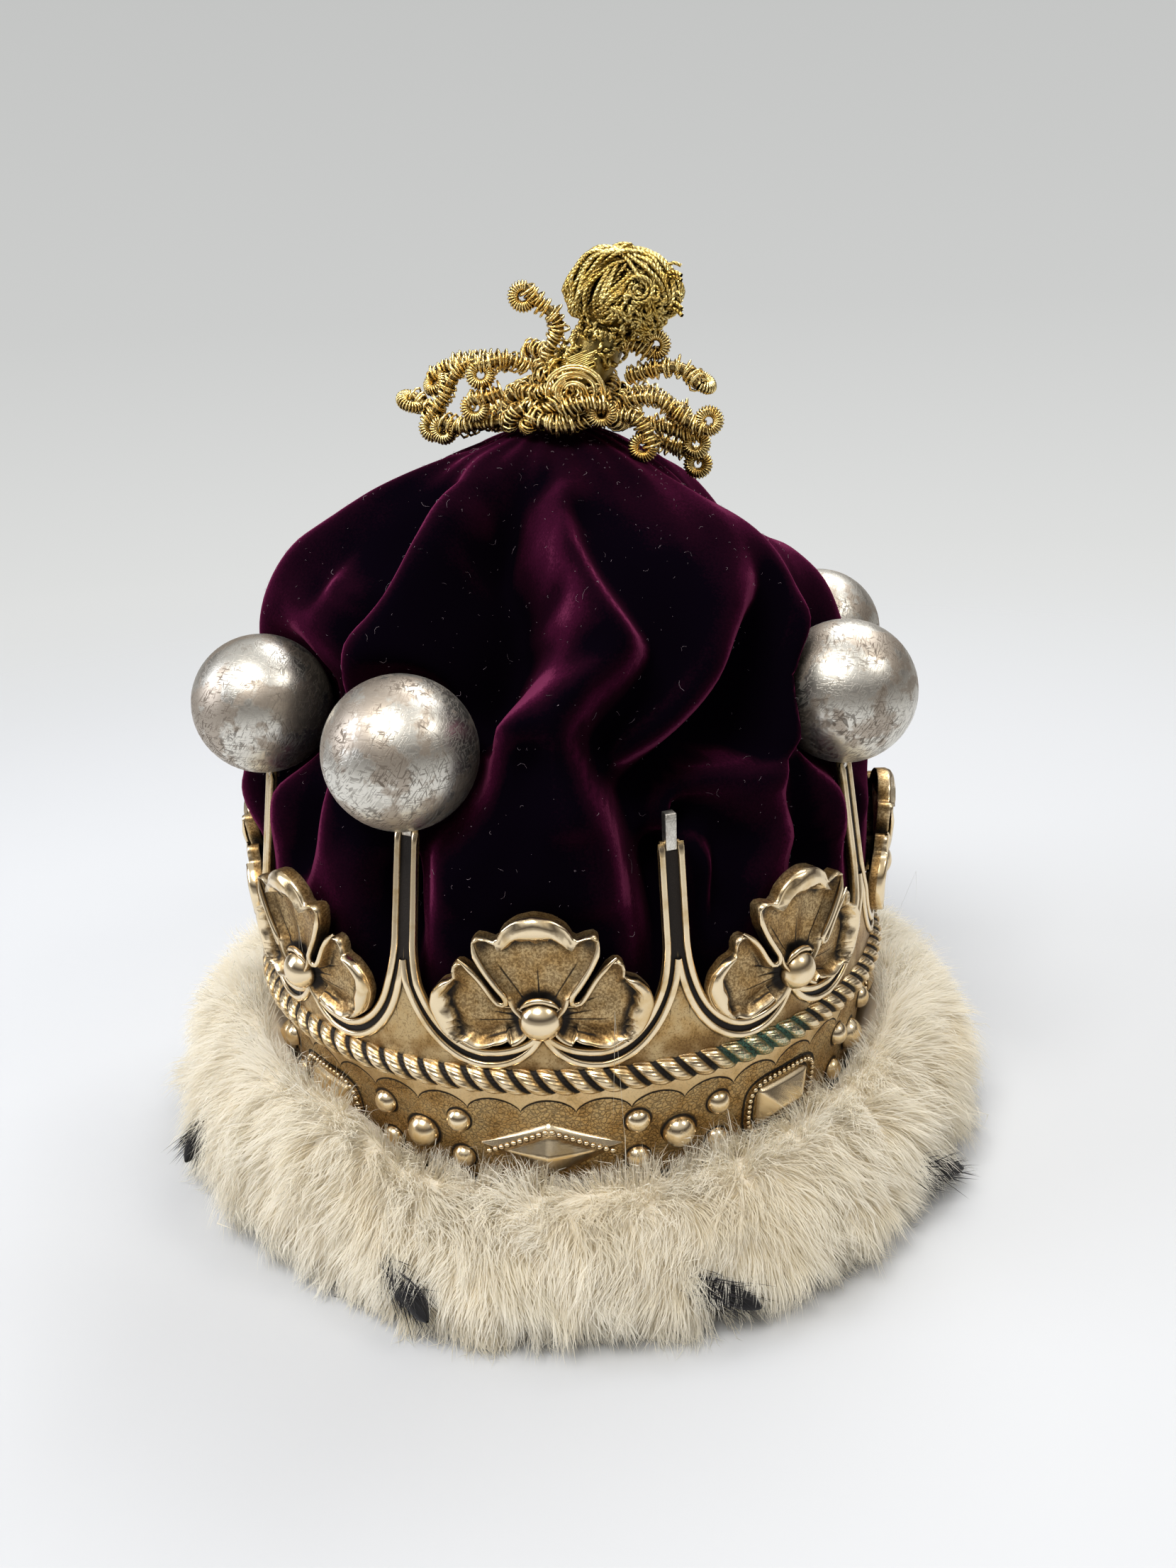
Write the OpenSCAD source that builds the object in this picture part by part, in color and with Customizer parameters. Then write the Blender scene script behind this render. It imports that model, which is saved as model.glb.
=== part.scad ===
// Coronet: a gilt circlet of leaves and ball-topped rays round a folded velvet cap,
// with a bullion tassel above and a fur turn-up below. It stands on the fur.
// Angles run from the front (-Y) towards +X. Heights are above the table.

/* [Circlet] */
// Outer radius of the sheet at the rope moulding
band_r = 93; // [93:0.1:93.2]
// Outer radius of the sheet at its lower edge
foot_r = 88.6; // [88.4:0.1:88.8]
// Thickness of the sheet
metal_t = 1.5; // [1.3:0.1:1.6]
// Height of the circlet's lower edge
foot_z = 25; // [25:0.1:25.3]
// Height of the rope moulding's middle
rope_z = 59; // [58.5:0.1:59.5]
// Radius of the rope moulding
rope_r = 3.1; // [2.8:0.1:3.3]
// Strands drawn round the rope, each a little wider than a real one
rope_strands = 56; // [56:4:64]
// Height of the leaf bosses
boss_z = 78.1; // [77.5:0.1:78.5]
// Radius of the leaf bosses
boss_r = 5.2; // [4.6:0.1:5.6]
// Lean of a leaf outwards, in millimetres for each millimetre of height
leaf_lean = 0.05; // [0:0.01:0.08]
// Width of a ray between its edges
ray_w = 6.6; // [6:0.1:7]
// Side of the square tenon on a ray
tenon_w = 2.9; // [2.5:0.1:3.2]
// Height of the tenon above the ray's shoulder
tenon_h = 7.6; // [6.5:0.1:8]

/* [Balls] */
// Radius of a ball
ball_r = 19.3; // [18.8:0.1:19.5]
// Clearance between pieces that are seated on each other
seat_gap = 0.3; // [0.2:0.05:0.4]

/* [Cap] */
// Thickness of the velvet with its backing
cloth_t = 2; // [1.6:0.1:2.4]
// Height of the top of the cap
cap_top_z = 210; // [209:0.5:211]
// Columns of the cap's mesh
cap_columns = 42; // [40:2:48]

/* [Tassel] */
// Radius of the woven neck of the tassel
neck_r = 9; // [8:0.5:10]
// Radius of the mop on the neck
mop_r = 13.5; // [12:0.5:14.5]
// Radius of one bullion coil
coil_r = 3.3; // [2.8:0.1:3.6]

/* [Fur] */
// Inner radius of the fur's backing
fur_inner_r = 86; // [85.5:0.1:86.4]
// Outer reach of the fur locks
fur_outer_r = 131; // [127:0.5:133]
// Locks in one row round the fur
fur_locks = 24; // [20:2:26]
// Height of the fur at the front
fur_h = 38; // [35:0.5:40]

/* [Hidden] */

gilt = "#c2a878";
silver = "#a9a59b";
velvet = "#3d0b2b";
bullion = "#c9a23f";
ermine = "#e9e0cf";
tail_black = "#15151b";

// Radius at which widths round the circlet are measured
girth_r = 94;
bays = 8;
half_bay = 180 / bays;
// Height at which the rays begin to lean in
bend_z = 84;

// Rays: [angle, shoulder height, shoulder radius, 1 with a ball or 0 without]
ray_rows = [
  [-22.5, 123, 86, 1],
  [22.5, 120, 90.5, 0],
  [67.5, 123, 88.5, 1],
  [112.5, 123, 87.5, 1],
  [157.5, 123, 88, 1],
  [-157.5, 123, 88, 1],
  [-112.5, 123, 88, 1],
  [-67.5, 123, 88, 1]
];
ball_rows = [for (r = ray_rows) if (r[3] == 1) r];
// Old bends: how far a place round the circlet has moved, [angle, degrees]
set_rows = [[-180, 0], [0, 0], [22.5, -0.9], [45, -2.2], [67.5, -0.8], [90, 0], [180, 0]];

// Half outlines of the leaf's lobes about their own middles: [angle, reach]
top_lobe_rows = [
  [-90, 9], [-12, 7.7], [25, 13.6], [45, 21.1], [57, 17.2], [68, 19.8], [90, 21.4]
];
side_lobe_rows = [
  [-109, 6], [-51, 11.2], [-29, 13.7], [-4, 17], [15, 18.4], [36, 17.3],
  [46, 15.8], [56, 19], [70, 12], [180, 7]
];
top_lobe_at = [0, 8];
side_lobe_at = [10, 0];

// How far a tenon stands behind its ray's shoulder
tenon_inset = 1.2;
// How far a strand of the rope slants over its height, in strands
strand_slant = 0.93;
// Lower band: middle height, then a large and a small stud and where the small ones are
band_mid_z = 38.1;
stud_r = 4;
small_stud_r = 2.8;
small_stud_at = [11.5, 6.2];

// Mouldings under a leaf: [reach to the ray, depth, reach to the leaf's middle, depth]
outer_ridge = [19, 28, 16, 11];
inner_ridge = [22.7, 31.7, 15.2, 14.7];
// Distance of the mouldings' lowest point from the leaf's middle
low_x = 14.5;
// Heights from which the two depths are measured
ray_side_z = 95;
cusp_side_z = 78.1;
ridge_h = 1.1;

// Cap between its folds: [height, radius]
valley_rows = [
  [25, 86.8], [60, 91], [72, 89], [84, 85.5], [97, 81], [111, 76.5], [125, 71.5], [139, 67.5],
  [152, 65.5], [164, 62], [174, 57], [184, 49], [194, 39], [202, 29], [207, 19], [210, 0]
];
// Folds: a row for each height, [height, angle, half width, rise]
folds = [
  // front
  [[66, -2, 15, 0], [91, -3, 15, 7], [111, -3, 14, 14], [134, 0, 11, 20], [148, 2, 10, 22],
   [164, 8, 10, 19], [174, 8, 11, 13], [186, 2, 13, 8], [203, 0, 18, 0]],
  // front right, lower
  [[66, 38, 15, 0], [91, 39, 15, 7], [111, 39, 14, 15], [131, 38, 13, 16],
   [143, 40, 11, 5], [150, 41, 10, 0]],
  // right of the front, turned over towards the crown
  [[125, 48, 10, 0], [139, 50, 9, 14], [152, 52, 9, 20], [166, 54, 11, 18], [177, 55, 14, 13],
   [186, 54, 18, 8], [203, 52, 24, 0]],
  // falling slantwise from the crown
  [[139, 14, 8, 0], [147, 20, 8, 8], [156, 27, 9, 10], [166, 33, 11, 9],
   [178, 38, 14, 7], [197, 40, 18, 0]],
  // front left
  [[66, -45, 15, 0], [91, -46, 15, 7], [111, -45, 13, 15], [134, -45, 12, 20], [155, -43, 12, 20],
   [171, -43, 13, 14], [186, -45, 16, 9], [203, -50, 22, 0]],
  // left
  [[66, -90, 15, 0], [91, -91, 15, 8], [111, -90, 14, 16], [139, -90, 13, 20], [155, -91, 13, 18],
   [170, -90, 14, 14], [184, -86, 17, 8], [203, -80, 22, 0]],
  // right
  [[66, 90, 15, 0], [91, 90, 15, 8], [111, 90, 14, 17], [139, 91, 13, 20], [155, 92, 13, 19],
   [170, 92, 14, 14], [184, 95, 17, 8], [203, 98, 22, 0]],
  // back right
  [[66, 135, 15, 0], [91, 134, 15, 8], [111, 136, 13, 15], [139, 133, 12, 18], [155, 138, 12, 17],
   [172, 140, 13, 12], [186, 136, 16, 7], [203, 130, 22, 0]],
  // back
  [[66, 180, 15, 0], [91, 181, 15, 8], [111, 178, 13, 15], [139, 182, 12, 19], [155, 184, 12, 17],
   [172, 181, 13, 12], [186, 178, 16, 7], [203, 180, 22, 0]],
  // back left
  [[66, -135, 15, 0], [91, -134, 15, 8], [111, -137, 13, 14], [139, -134, 12, 19], [155, -132, 12, 18],
   [172, -135, 13, 13], [186, -138, 16, 7], [203, -140, 22, 0]]
];

// Bullion coils: [angle, reach, lift at mid length, height of the tip above the cap's top]
coil_rows = [
  [-92, 37, 7, -3], [-70, 31, 12, 3], [-50, 22, 12, 5], [-118, 31, 5, -4], [-20, 19, 5, 1],
  [48, 28, 6, -2], [74, 40, 8, -5], [94, 46, 9, -3],
  [122, 31, 7, 0], [160, 26, 8, 0], [-150, 25, 8, 0]
];
// Coils that stand up from the crown: [angle, reach, height of the tip]
raised_rows = [[-96, 17, 37], [86, 33, 22], [84, 43, 13]];

// Black tails in the fur: [angle, height]
tail_rows = [[-16, 13], [20, 11], [60, 10], [105, 12], [150, 11], [-150, 12], [-105, 11], [-62, 16]];
tail_len = 17;

// A place at radius r, angle a and height z
function at(r, a, z) = [r * sin(a), -r * cos(a), z];
function mix(a, b, t) = a + (b - a) * t;
function clamp01(t) = max(0, min(1, t));
function turned(a) = a > 180 ? a - 360 : a <= -180 ? a + 360 : a;
// Degrees round the circlet for a width in millimetres
function deg_of(x) = x / girth_r * 180 / PI;
function set_angle(a) = a + lookup(turned(a), set_rows);
function column(rows, c) = [for (r = rows) [r[0], r[c]]];

// Outer radius of the sheet, on the way to a ray's own shoulder above bend_z
function wall_r(z, row = [0, 123, 88, 1]) =
  z <= rope_z ? mix(foot_r, band_r, (z - foot_z) / (rope_z - foot_z))
  : z <= bend_z ? band_r
  : mix(band_r, row[2] - tenon_inset, (z - bend_z) / (row[1] - bend_z));
function leaf_r(z) = band_r + 0.4 + leaf_lean * (z - rope_z);

// Faces of a closed tube of rings, each with n points, that runs round or ends in caps
function ring_faces(n, rings, closed) = concat(
  [for (i = [0:rings - (closed ? 1 : 2)], j = [0:n - 1])
    [i * n + j, i * n + (j + 1) % n, ((i + 1) % rings) * n + (j + 1) % n, ((i + 1) % rings) * n + j]],
  closed ? [] : [[for (j = [n - 1:-1:0]) j], [for (j = [0:n - 1]) (rings - 1) * n + j]]
);

// Height of a moulding's line, x from the leaf's middle
function arch_z(ridge, x) =
  x < low_x
  ? cusp_side_z - ridge[3] * sqrt(1 - pow((low_x - x) / ridge[2], 2))
  : ray_side_z - ridge[1] * sqrt(max(0, 1 - pow((x - low_x) / ridge[0], 2)));

// The sheet with its mouldings and rays is one ring of columns. A column is
// [distance from the leaf's middle, [[height, how far it stands out], ...]]
bay_w = 2 * half_bay * girth_r * PI / 180;
ray_half = ray_w / 2;
edge_w = 1;
fork_z = 85;
channel_h = 0.15;
// How far alternate columns stand proud, as on hand-raised metal
proud_h = 0.08;
arch_x = [3, 9, 16, 23, 29.5];
// The cusp under a boss, a little off the leaf's middle as it was filed
cusp_x = 0.3;
cusp_rows = [
  [boss_z - 7, 0], [boss_z - 5, ridge_h], [boss_z - 4, channel_h], [boss_z - 3, ridge_h], [boss_z - 0.5, 0]
];
arch_columns = concat(
  [[cusp_x, cusp_rows]],
  [for (x = arch_x) let (i = arch_z(inner_ridge, x), o = arch_z(outer_ridge, x))
    [x, [[i - edge_w, 0], [i, ridge_h], [(i + o) / 2, channel_h], [o, ridge_h], [o + edge_w, -0.1]]]]
);
ray_side = bay_w / 2 - ray_half;
ray_edge_h = ridge_h + 0.1;
ray_columns = function(shoulder) [
  [ray_side - 0.2,
    [[75.6, 0], [77.4, ridge_h], [81, channel_h], [88.6, ridge_h - 0.2], [ray_side_z, 0]]],
  [ray_side,
    [[76.5, 0], [78.3, ridge_h], [82.5, channel_h], [90, ridge_h - 0.1], [shoulder, 0.4]]],
  [ray_side + edge_w,
    [[78.4, 0], [80.3, ridge_h], [85, channel_h + 0.1],
     [ray_side_z, ray_edge_h], [shoulder, ray_edge_h]]],
  [bay_w / 2,
    [[fork_z - 2.5, 0.1], [fork_z, ridge_h], [fork_z + 3, channel_h],
     [100, channel_h], [shoulder, channel_h]]]
];

module sheet() {
  columns = [for (r = ray_rows)
    let (
      half = concat(arch_columns, ray_columns(r[1])),
      n = len(half)
    )
    each concat(
      [for (c = half) [r[0] - half_bay + deg_of(c[0]), c[1], r]],
      [for (k = [n - 2:-1:1]) [r[0] + half_bay - deg_of(half[k][0]), half[k][1], r]]
    )];
  rings = [for (k = [0:len(columns) - 1])
    let (c = columns[k], a = set_angle(c[0]), top = c[1][4][0], proud = k % 2 * proud_h)
    concat(
      [at(wall_r(foot_z), a, foot_z), at(wall_r(rope_z) + proud, a, rope_z)],
      [for (p = c[1]) at(wall_r(p[0], c[2]) + p[1], a, p[0])],
      [at(wall_r(top, c[2]) - metal_t, a, top)],
      [for (z = [rope_z, foot_z]) at(wall_r(z) - metal_t, a, z)]
    )];
  polyhedron([for (ring = rings) each ring], ring_faces(10, len(rings), true), convexity = 10);
}

module tenons() {
  for (row = ray_rows)
    rotate(set_angle(row[0]))
      translate([0, -row[2] + tenon_inset + metal_t / 2, row[1] + tenon_h / 2 - 1])
        cube([tenon_w, tenon_w, tenon_h + 2], center = true);
}

// A lobe of a leaf, cupped inside its raised rim, on the side of the leaf given by -1 or 1
module lobe(rows, middle, leaf_a, side, lift, back) {
  n = len(rows);
  spot = function(x, z, h) at(leaf_r(z) + h, leaf_a + side * deg_of(x), z);
  rim = function(k, h)
    spot(middle[0] + rows[k][1] * cos(rows[k][0]), boss_z + middle[1] + rows[k][1] * sin(rows[k][0]), h);
  points = concat(
    [for (k = [0:n - 1]) rim(k, -back)],
    [for (k = [0:n - 1]) rim(k, lift + 1.3)],
    [spot(middle[0], boss_z + middle[1], lift + 0.5), spot(middle[0], boss_z + middle[1], -back)]
  );
  faces = [for (k = [0:n - 1]) let (m = (k + 1) % n) each [
    [k, m, n + m, n + k],
    [n + k, n + m, 2 * n],
    [m, k, 2 * n + 1]
  ]];
  polyhedron(points, side < 0 ? faces : [for (f = faces) [for (i = [len(f) - 1:-1:0]) f[i]]]);
}

module leaves() {
  whole_top = concat(top_lobe_rows, [for (k = [len(top_lobe_rows) - 2:-1:1])
    [180 - top_lobe_rows[k][0], top_lobe_rows[k][1]]]);
  for (k = [0:bays - 1]) {
    leaf_a = set_angle(turned(k * 2 * half_bay));
    lobe(side_lobe_rows, side_lobe_at, leaf_a, 1, 0.6, 1.5);
    lobe(side_lobe_rows, side_lobe_at, leaf_a, -1, 0.6, 1.47);
    lobe(whole_top, top_lobe_at, leaf_a, 1, 1.2, 1.44);
    dome(leaf_r(boss_z) - 0.4, leaf_a, boss_z, boss_r);
  }
}

// The rope: two rings for each strand, one on its crest and one in the groove beside it
module rope() {
  section = [-90, -32, 32, 90];
  lean = 360 / rope_strands * strand_slant;
  rings = [for (i = [0:2 * rope_strands - 1])
    let (a = i * 180 / rope_strands, r = rope_r * (i % 2 == 0 ? 1 : 0.72))
    [for (t = section)
      at(wall_r(rope_z) - 0.6 + (r + 0.6) * cos(t), a - lean * sin(t) / 2, rope_z + rope_r * sin(t))]];
  polyhedron([for (ring = rings) each ring], ring_faces(len(section), len(rings), true), convexity = 10);
}

// A round boss of radius r that stands out at radius base
module dome(base, a, z, r) {
  translate(at(base, a, z))
    rotate([0, 0, a])
      rotate([90, 0, 0])
        cylinder(r1 = r, r2 = r * 0.5, h = r * 0.9, $fn = 7);
}

// A stud of the lower band, x and dz from the middle of its group
module stud(x, dz, r, a) {
  z = band_mid_z + dz;
  dome(wall_r(z) - 0.5, a + deg_of(x), z, r);
}

// A raised four-sided point, w and h its half width and half height
module pyramid_jewel(a, z, w, h, rise) {
  base = wall_r(z);
  side_a = deg_of(w);
  back = -1.2;
  points = [
    at(base + rise, a, z), at(base + 0.1, a - side_a, z), at(base - 0.3, a, z - h),
    at(base + 0.1, a + side_a, z), at(base + 0.9, a, z + h), at(base - metal_t + 0.3, a, z)
  ];
  polyhedron(points, [
    [2, 1, 0], [3, 2, 0], [4, 3, 0], [1, 4, 0], [1, 2, 5], [2, 3, 5], [3, 4, 5], [4, 1, 5]
  ]);
}

// A hipped stone shape in a raised frame
module table_jewel(a, z) {
  hull()
    for (x = [-1, 1], dz = [-1, 1])
      translate(at(wall_r(z + dz * 6) + 0.2, a + deg_of(x * 9.5), z + dz * 6))
        rotate(a)
          cube([1.8, 2.4, 1.8], center = true);
  hull() {
    for (x = [-1, 1], dz = [-1, 1])
      translate(at(wall_r(z + dz * 6) + 0.8, a + deg_of(x * 7.6), z + dz * 4.4))
        cube(0.6, center = true);
    for (x = [-1, 1])
      translate(at(wall_r(z) + 3.2, a + deg_of(x * 4), z))
        cube(0.5, center = true);
  }
}

module lower_band() {
  for (k = [0:bays - 1]) {
    a = set_angle(turned(k * 2 * half_bay));
    if (k % 2 == 0)
      pyramid_jewel(a, 38.2, 17.3, 6.5, 3);
    else
      table_jewel(a, 37);
  }
  for (row = ray_rows) {
    a = set_angle(row[0]);
    stud(0, 0, stud_r, a);
    for (x = [-1, 1] * small_stud_at[0], dz = [-1, 1] * small_stud_at[1])
      stud(x, dz, small_stud_r, a);
  }
}

module circlet() {
  color(gilt) union() {
    sheet();
    tenons();
    leaves();
    rope();
    lower_band();
  }
}

// Middle of the ball on a ray
function ball_at(row) = at(row[2] - 1.5, set_angle(row[0]), row[1] + seat_gap + ball_r);

module ball(k) {
  row = ball_rows[k - 1];
  slack = 2 * seat_gap;
  color(silver)
    difference() {
      translate(ball_at(row))
        sphere(ball_r, $fn = 64);
      rotate(set_angle(row[0]))
        translate([0, -row[2] + tenon_inset + metal_t / 2, row[1] + tenon_h / 2])
          cube([tenon_w + slack, tenon_w + slack, tenon_h + slack], center = true);
    }
}

// How much a fold adds at angle a and height z
function fold_rise(rows, a, z) =
  let (
    middle = lookup(z, column(rows, 1)),
    width = lookup(z, column(rows, 2)),
    rise = lookup(z, column(rows, 3)),
    away = abs(turned(a - middle)) / width
  )
  rise / (1 + pow(away, 3.2));
function fold_sum(a, z) = let (rises = [for (f = folds) fold_rise(f, a, z)])
  max(rises) + 0.15 * (rises * [for (r = rises) 1] - max(rises));
// Greatest radius that stays clear of one ball
function ball_limit(row, a, z) =
  let (
    c = ball_at(row),
    mid_r = norm([c[0], c[1]]),
    off = turned(a - set_angle(row[0])),
    keep = ball_r + 3.2,
    rest = pow(keep, 2) - pow(mid_r * sin(off), 2) - pow(z - c[2], 2)
  )
  abs(off) > 40 || rest < 0 ? 200 : mid_r * cos(off) - sqrt(rest);
// Greatest radius that stays inside the circlet's rays and leaves
function metal_limit(z) = z < 112 ? wall_r(min(z, bend_z)) - metal_t - seat_gap - 0.1 : 200;
function ray_limit(a, z) = min([for (row = ray_rows)
  z < row[1] + 2 && z > rope_z && abs(turned(a - set_angle(row[0]))) < 7
  ? wall_r(min(z, row[1]), row) - metal_t - 1.2 : 200]);
function cap_r(a, z) = max(0, min(
  lookup(z, valley_rows) + fold_sum(a, z),
  min([for (row = ball_rows) ball_limit(row, a, z)]),
  metal_limit(z),
  ray_limit(a, z)
));
cap_levels = [25.4, 60, 80, 97, 112, 126, 139, 151, 163, 174, 185, 196, 205];

module velvet_cap() {
  n = cap_columns;
  m = len(cap_levels);
  outer = [for (z = cap_levels, j = [0:n - 1]) at(cap_r(j * 360 / n, z), j * 360 / n, z)];
  inner = [for (z = cap_levels, j = [0:n - 1])
    let (a = j * 360 / n, thin = z > 160 ? 1.5 : 1)
    at(cap_r(a, z) - cloth_t * thin, a, z - (z > 130 ? cloth_t * clamp01((z - 130) / 60) : 0))];
  top = [[0, 0, cap_top_z], [0, 0, cap_top_z - cloth_t * 1.2]];
  points = concat(outer, inner, top);
  side_faces = [for (i = [0:m - 2], j = [0:n - 1]) let (k = (j + 1) % n) each [
    [i * n + j, (i + 1) * n + j, (i + 1) * n + k, i * n + k],
    [(m + i) * n + j, (m + i) * n + k, (m + i + 1) * n + k, (m + i + 1) * n + j]
  ]];
  end_faces = [for (j = [0:n - 1]) let (k = (j + 1) % n) each [
    [j, k, m * n + k, m * n + j],
    [(m - 1) * n + j, 2 * m * n, (m - 1) * n + k],
    [(2 * m - 1) * n + j, (2 * m - 1) * n + k, 2 * m * n + 1]
  ]];
  color(velvet)
    polyhedron(points, concat(side_faces, end_faces), convexity = 10);
}

// Thick strand through points, each joined to the next
module strand_through(points, r) {
  for (i = [0:len(points) - 2])
    hull()
      for (p = [points[i], points[i + 1]])
        translate(p)
          sphere(r, $fn = 6);
}

module tassel() {
  foot = cap_top_z + seat_gap;
  lean_at = [14, -6, 0];
  neck_top = foot + 24;
  mop = [24, -8, foot + 37 - mop_r + 12];
  color(bullion) union() {
    hull() {
      translate([4, -2, foot + 3])
        cylinder(r1 = neck_r * 1.7, r2 = neck_r * 2.3, h = 6, center = true, $fn = 12);
      translate([lean_at[0] * 0.5, lean_at[1] * 0.5, foot + 9])
        sphere(neck_r * 1.3, $fn = 8);
    }
    hull() {
      translate([lean_at[0] * 0.5, lean_at[1] * 0.5, foot + 10])
        sphere(neck_r, $fn = 8);
      translate([mop[0] - 5, mop[1] + 2, neck_top - 2])
        sphere(neck_r, $fn = 8);
    }
    hull() {
      translate(mop)
        sphere(mop_r, $fn = 10);
      translate([mop[0] - 2, mop[1] + 1, mop[2] - 6])
        sphere(mop_r, $fn = 10);
    }
    for (row = coil_rows)
      strand_through([
        at(5, row[0], foot + 6) + [4, -2, 0],
        at(row[1] * 0.62, row[0] + 5, foot + coil_r + row[2] + row[3] * 0.3),
        at(row[1], row[0] - 4, foot + coil_r + row[3])
      ], coil_r);
    for (row = raised_rows)
      strand_through([
        [6, -2, foot + 8],
        at(row[1] * 0.6, row[0], foot + mix(8, row[2], 0.55)),
        at(row[1], row[0], foot + row[2] - coil_r)
      ], coil_r);
  }
}

// A lock of fur from its root to its tip
module lock(a, root_r, root_z, tip_r, tip_z, thick, sweep) {
  ring = function(r, turn, z, w) [for (c = [[-1, -0.6], [1, -0.6], [0.8, 0.6], [-0.8, 0.6]])
    at(r, turn + deg_of(c[0] * w) * girth_r / r, z + c[1] * w)];
  points = concat(
    ring(root_r, a, root_z, thick),
    ring(mix(root_r, tip_r, 0.55), a + sweep * 0.4, mix(root_z, tip_z, 0.3), thick * 0.9),
    [at(tip_r, a + sweep, tip_z)]
  );
  faces = concat(
    [[0, 3, 2, 1]],
    [for (k = [0:3]) let (m = (k + 1) % 4) each [[k, m, 4 + m, 4 + k], [4 + k, 4 + m, 8]]]
  );
  hull()
    polyhedron(points, [for (f = faces) [for (i = [len(f) - 1:-1:0]) f[i]]]);
}

ledge_z = foot_z - seat_gap;
fur_face_r = 93.8;

module fur_shape() {
  rotate_extrude($fn = 36)
    polygon([
      [fur_inner_r - 3, 0], [119, 0], [125, 12], [120, 28], [108, fur_h - 2],
      [fur_face_r + 2, fur_h - 4], [fur_inner_r - 3, fur_h - 8]
    ]);
  for (k = [0:fur_locks - 1]) {
    a = (k + 0.5) * 360 / fur_locks;
    wave = sin(a * 3 + 40) + sin(a * 7) * 0.6;
    clear = min([for (row = tail_rows) abs(turned(a - row[0]))]);
    if (clear > 8)
      lock(a, 112, 21, fur_outer_r - 1.2 + wave, 11 + wave * 2, 8, 4);
    lock(a + 6, 104, 28, fur_outer_r - 7, fur_h - 11 + wave * 2, 8, -3);
  }
}

// One black tail, w added to its thickness all round
module tail(k, w) {
  row = tail_rows[k - 1];
  hull() {
    translate(at(118, row[0] - 2, row[1] + 3))
      sphere(4.4 + w, $fn = 6);
    translate(at(fur_outer_r - 4, row[0] + deg_of(tail_len) / 2, row[1] - 2))
      sphere(3 + w, $fn = 6);
  }
}

module ermine_tail(k) {
  color(tail_black) tail(k, 0);
}

module fur_trim() {
  color(ermine)
    difference() {
      fur_shape();
      translate([0, 0, -1])
        cylinder(r = fur_inner_r, h = fur_h * 2, $fn = 36);
      translate([0, 0, ledge_z])
        cylinder(r = fur_face_r, h = fur_h * 2, $fn = 36);
      for (k = [1:len(tail_rows)])
        tail(k, seat_gap);
    }
}

circlet();
ball(1);  // ball_1
ball(2);  // ball_2
ball(3);  // ball_3
ball(4);  // ball_4
ball(5);  // ball_5
ball(6);  // ball_6
ball(7);  // ball_7
velvet_cap();
tassel();
fur_trim();
ermine_tail(1);  // ermine_tail_1
ermine_tail(2);  // ermine_tail_2
ermine_tail(3);  // ermine_tail_3
ermine_tail(4);  // ermine_tail_4
ermine_tail(5);  // ermine_tail_5
ermine_tail(6);  // ermine_tail_6
ermine_tail(7);  // ermine_tail_7
ermine_tail(8);  // ermine_tail_8
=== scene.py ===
import bmesh
import bpy
import numpy as np
from mathutils import Matrix, Vector


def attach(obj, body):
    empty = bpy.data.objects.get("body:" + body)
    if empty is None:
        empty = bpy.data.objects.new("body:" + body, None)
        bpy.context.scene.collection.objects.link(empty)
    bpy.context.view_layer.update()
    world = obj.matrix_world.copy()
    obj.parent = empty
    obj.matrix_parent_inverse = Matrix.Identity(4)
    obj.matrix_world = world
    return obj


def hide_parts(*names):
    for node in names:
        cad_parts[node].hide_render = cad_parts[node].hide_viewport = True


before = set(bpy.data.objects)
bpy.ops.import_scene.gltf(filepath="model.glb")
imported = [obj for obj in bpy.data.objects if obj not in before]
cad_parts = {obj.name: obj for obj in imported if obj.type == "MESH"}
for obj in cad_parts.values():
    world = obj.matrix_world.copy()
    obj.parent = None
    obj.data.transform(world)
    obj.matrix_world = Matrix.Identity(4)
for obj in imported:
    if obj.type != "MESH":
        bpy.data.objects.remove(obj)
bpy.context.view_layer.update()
mm = 0.001
chance = np.random.default_rng(11)
print("frame loaded")

# Sizes that the looks share with the solids
band = dict(
    rimRadius=93, footRadius=88.6, footHeight=25, ropeHeight=59, ropeRadius=3.5, sheet=1.5, bendHeight=84,
    girth=94, bossHeight=78.1, bossRadius=5.5, leafLean=0.05, halfBay=22.5, bays=8,
    bentAt=[-180, 0, 22.5, 45, 67.5, 90, 180], bentBy=[0, 0, -0.9, -2.2, -0.8, 0, 0],
)
# angle, shoulder height, shoulder radius, node of its ball
rays = [
    (-22.5, 123, 86, "ball_1"), (22.5, 120, 90.5, None), (67.5, 123, 88.5, "ball_2"),
    (112.5, 123, 87.5, "ball_3"), (157.5, 123, 88, "ball_4"), (-157.5, 123, 88, "ball_5"),
    (-112.5, 123, 88, "ball_6"), (-67.5, 123, 88, "ball_7"),
]


def unturned(angle):
    return (np.asarray(angle, float) + 180) % 360 - 180


def bent(angle):
    return angle + np.interp(unturned(angle), band["bentAt"], band["bentBy"])


def degreesFor(width):
    return np.degrees(np.asarray(width, float) / band["girth"])


def around(radius, angle, height):
    turn = np.radians(angle)
    parts = np.broadcast_arrays(radius * np.sin(turn), -radius * np.cos(turn), height)
    return np.stack(parts, axis=-1)


evenRay = (0, 123, 88)  # angle, shoulder height and shoulder radius, where no ray is named


def sheetRadius(height, ray=evenRay):
    low = np.interp(height, [band["footHeight"], band["ropeHeight"]], [band["footRadius"], band["rimRadius"]])
    lean = np.clip((height - band["bendHeight"]) / (ray[1] - band["bendHeight"]), 0, 1.2)
    return low + (ray[2] - 1.2 - band["rimRadius"]) * lean


def leafRadius(height):
    return band["rimRadius"] + 0.4 + band["leafLean"] * (height - band["ropeHeight"])


def smoothStep(value, low, high):
    t = np.clip((value - low) / (high - low), 0, 1)
    return t * t * (3 - 2 * t)


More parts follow.
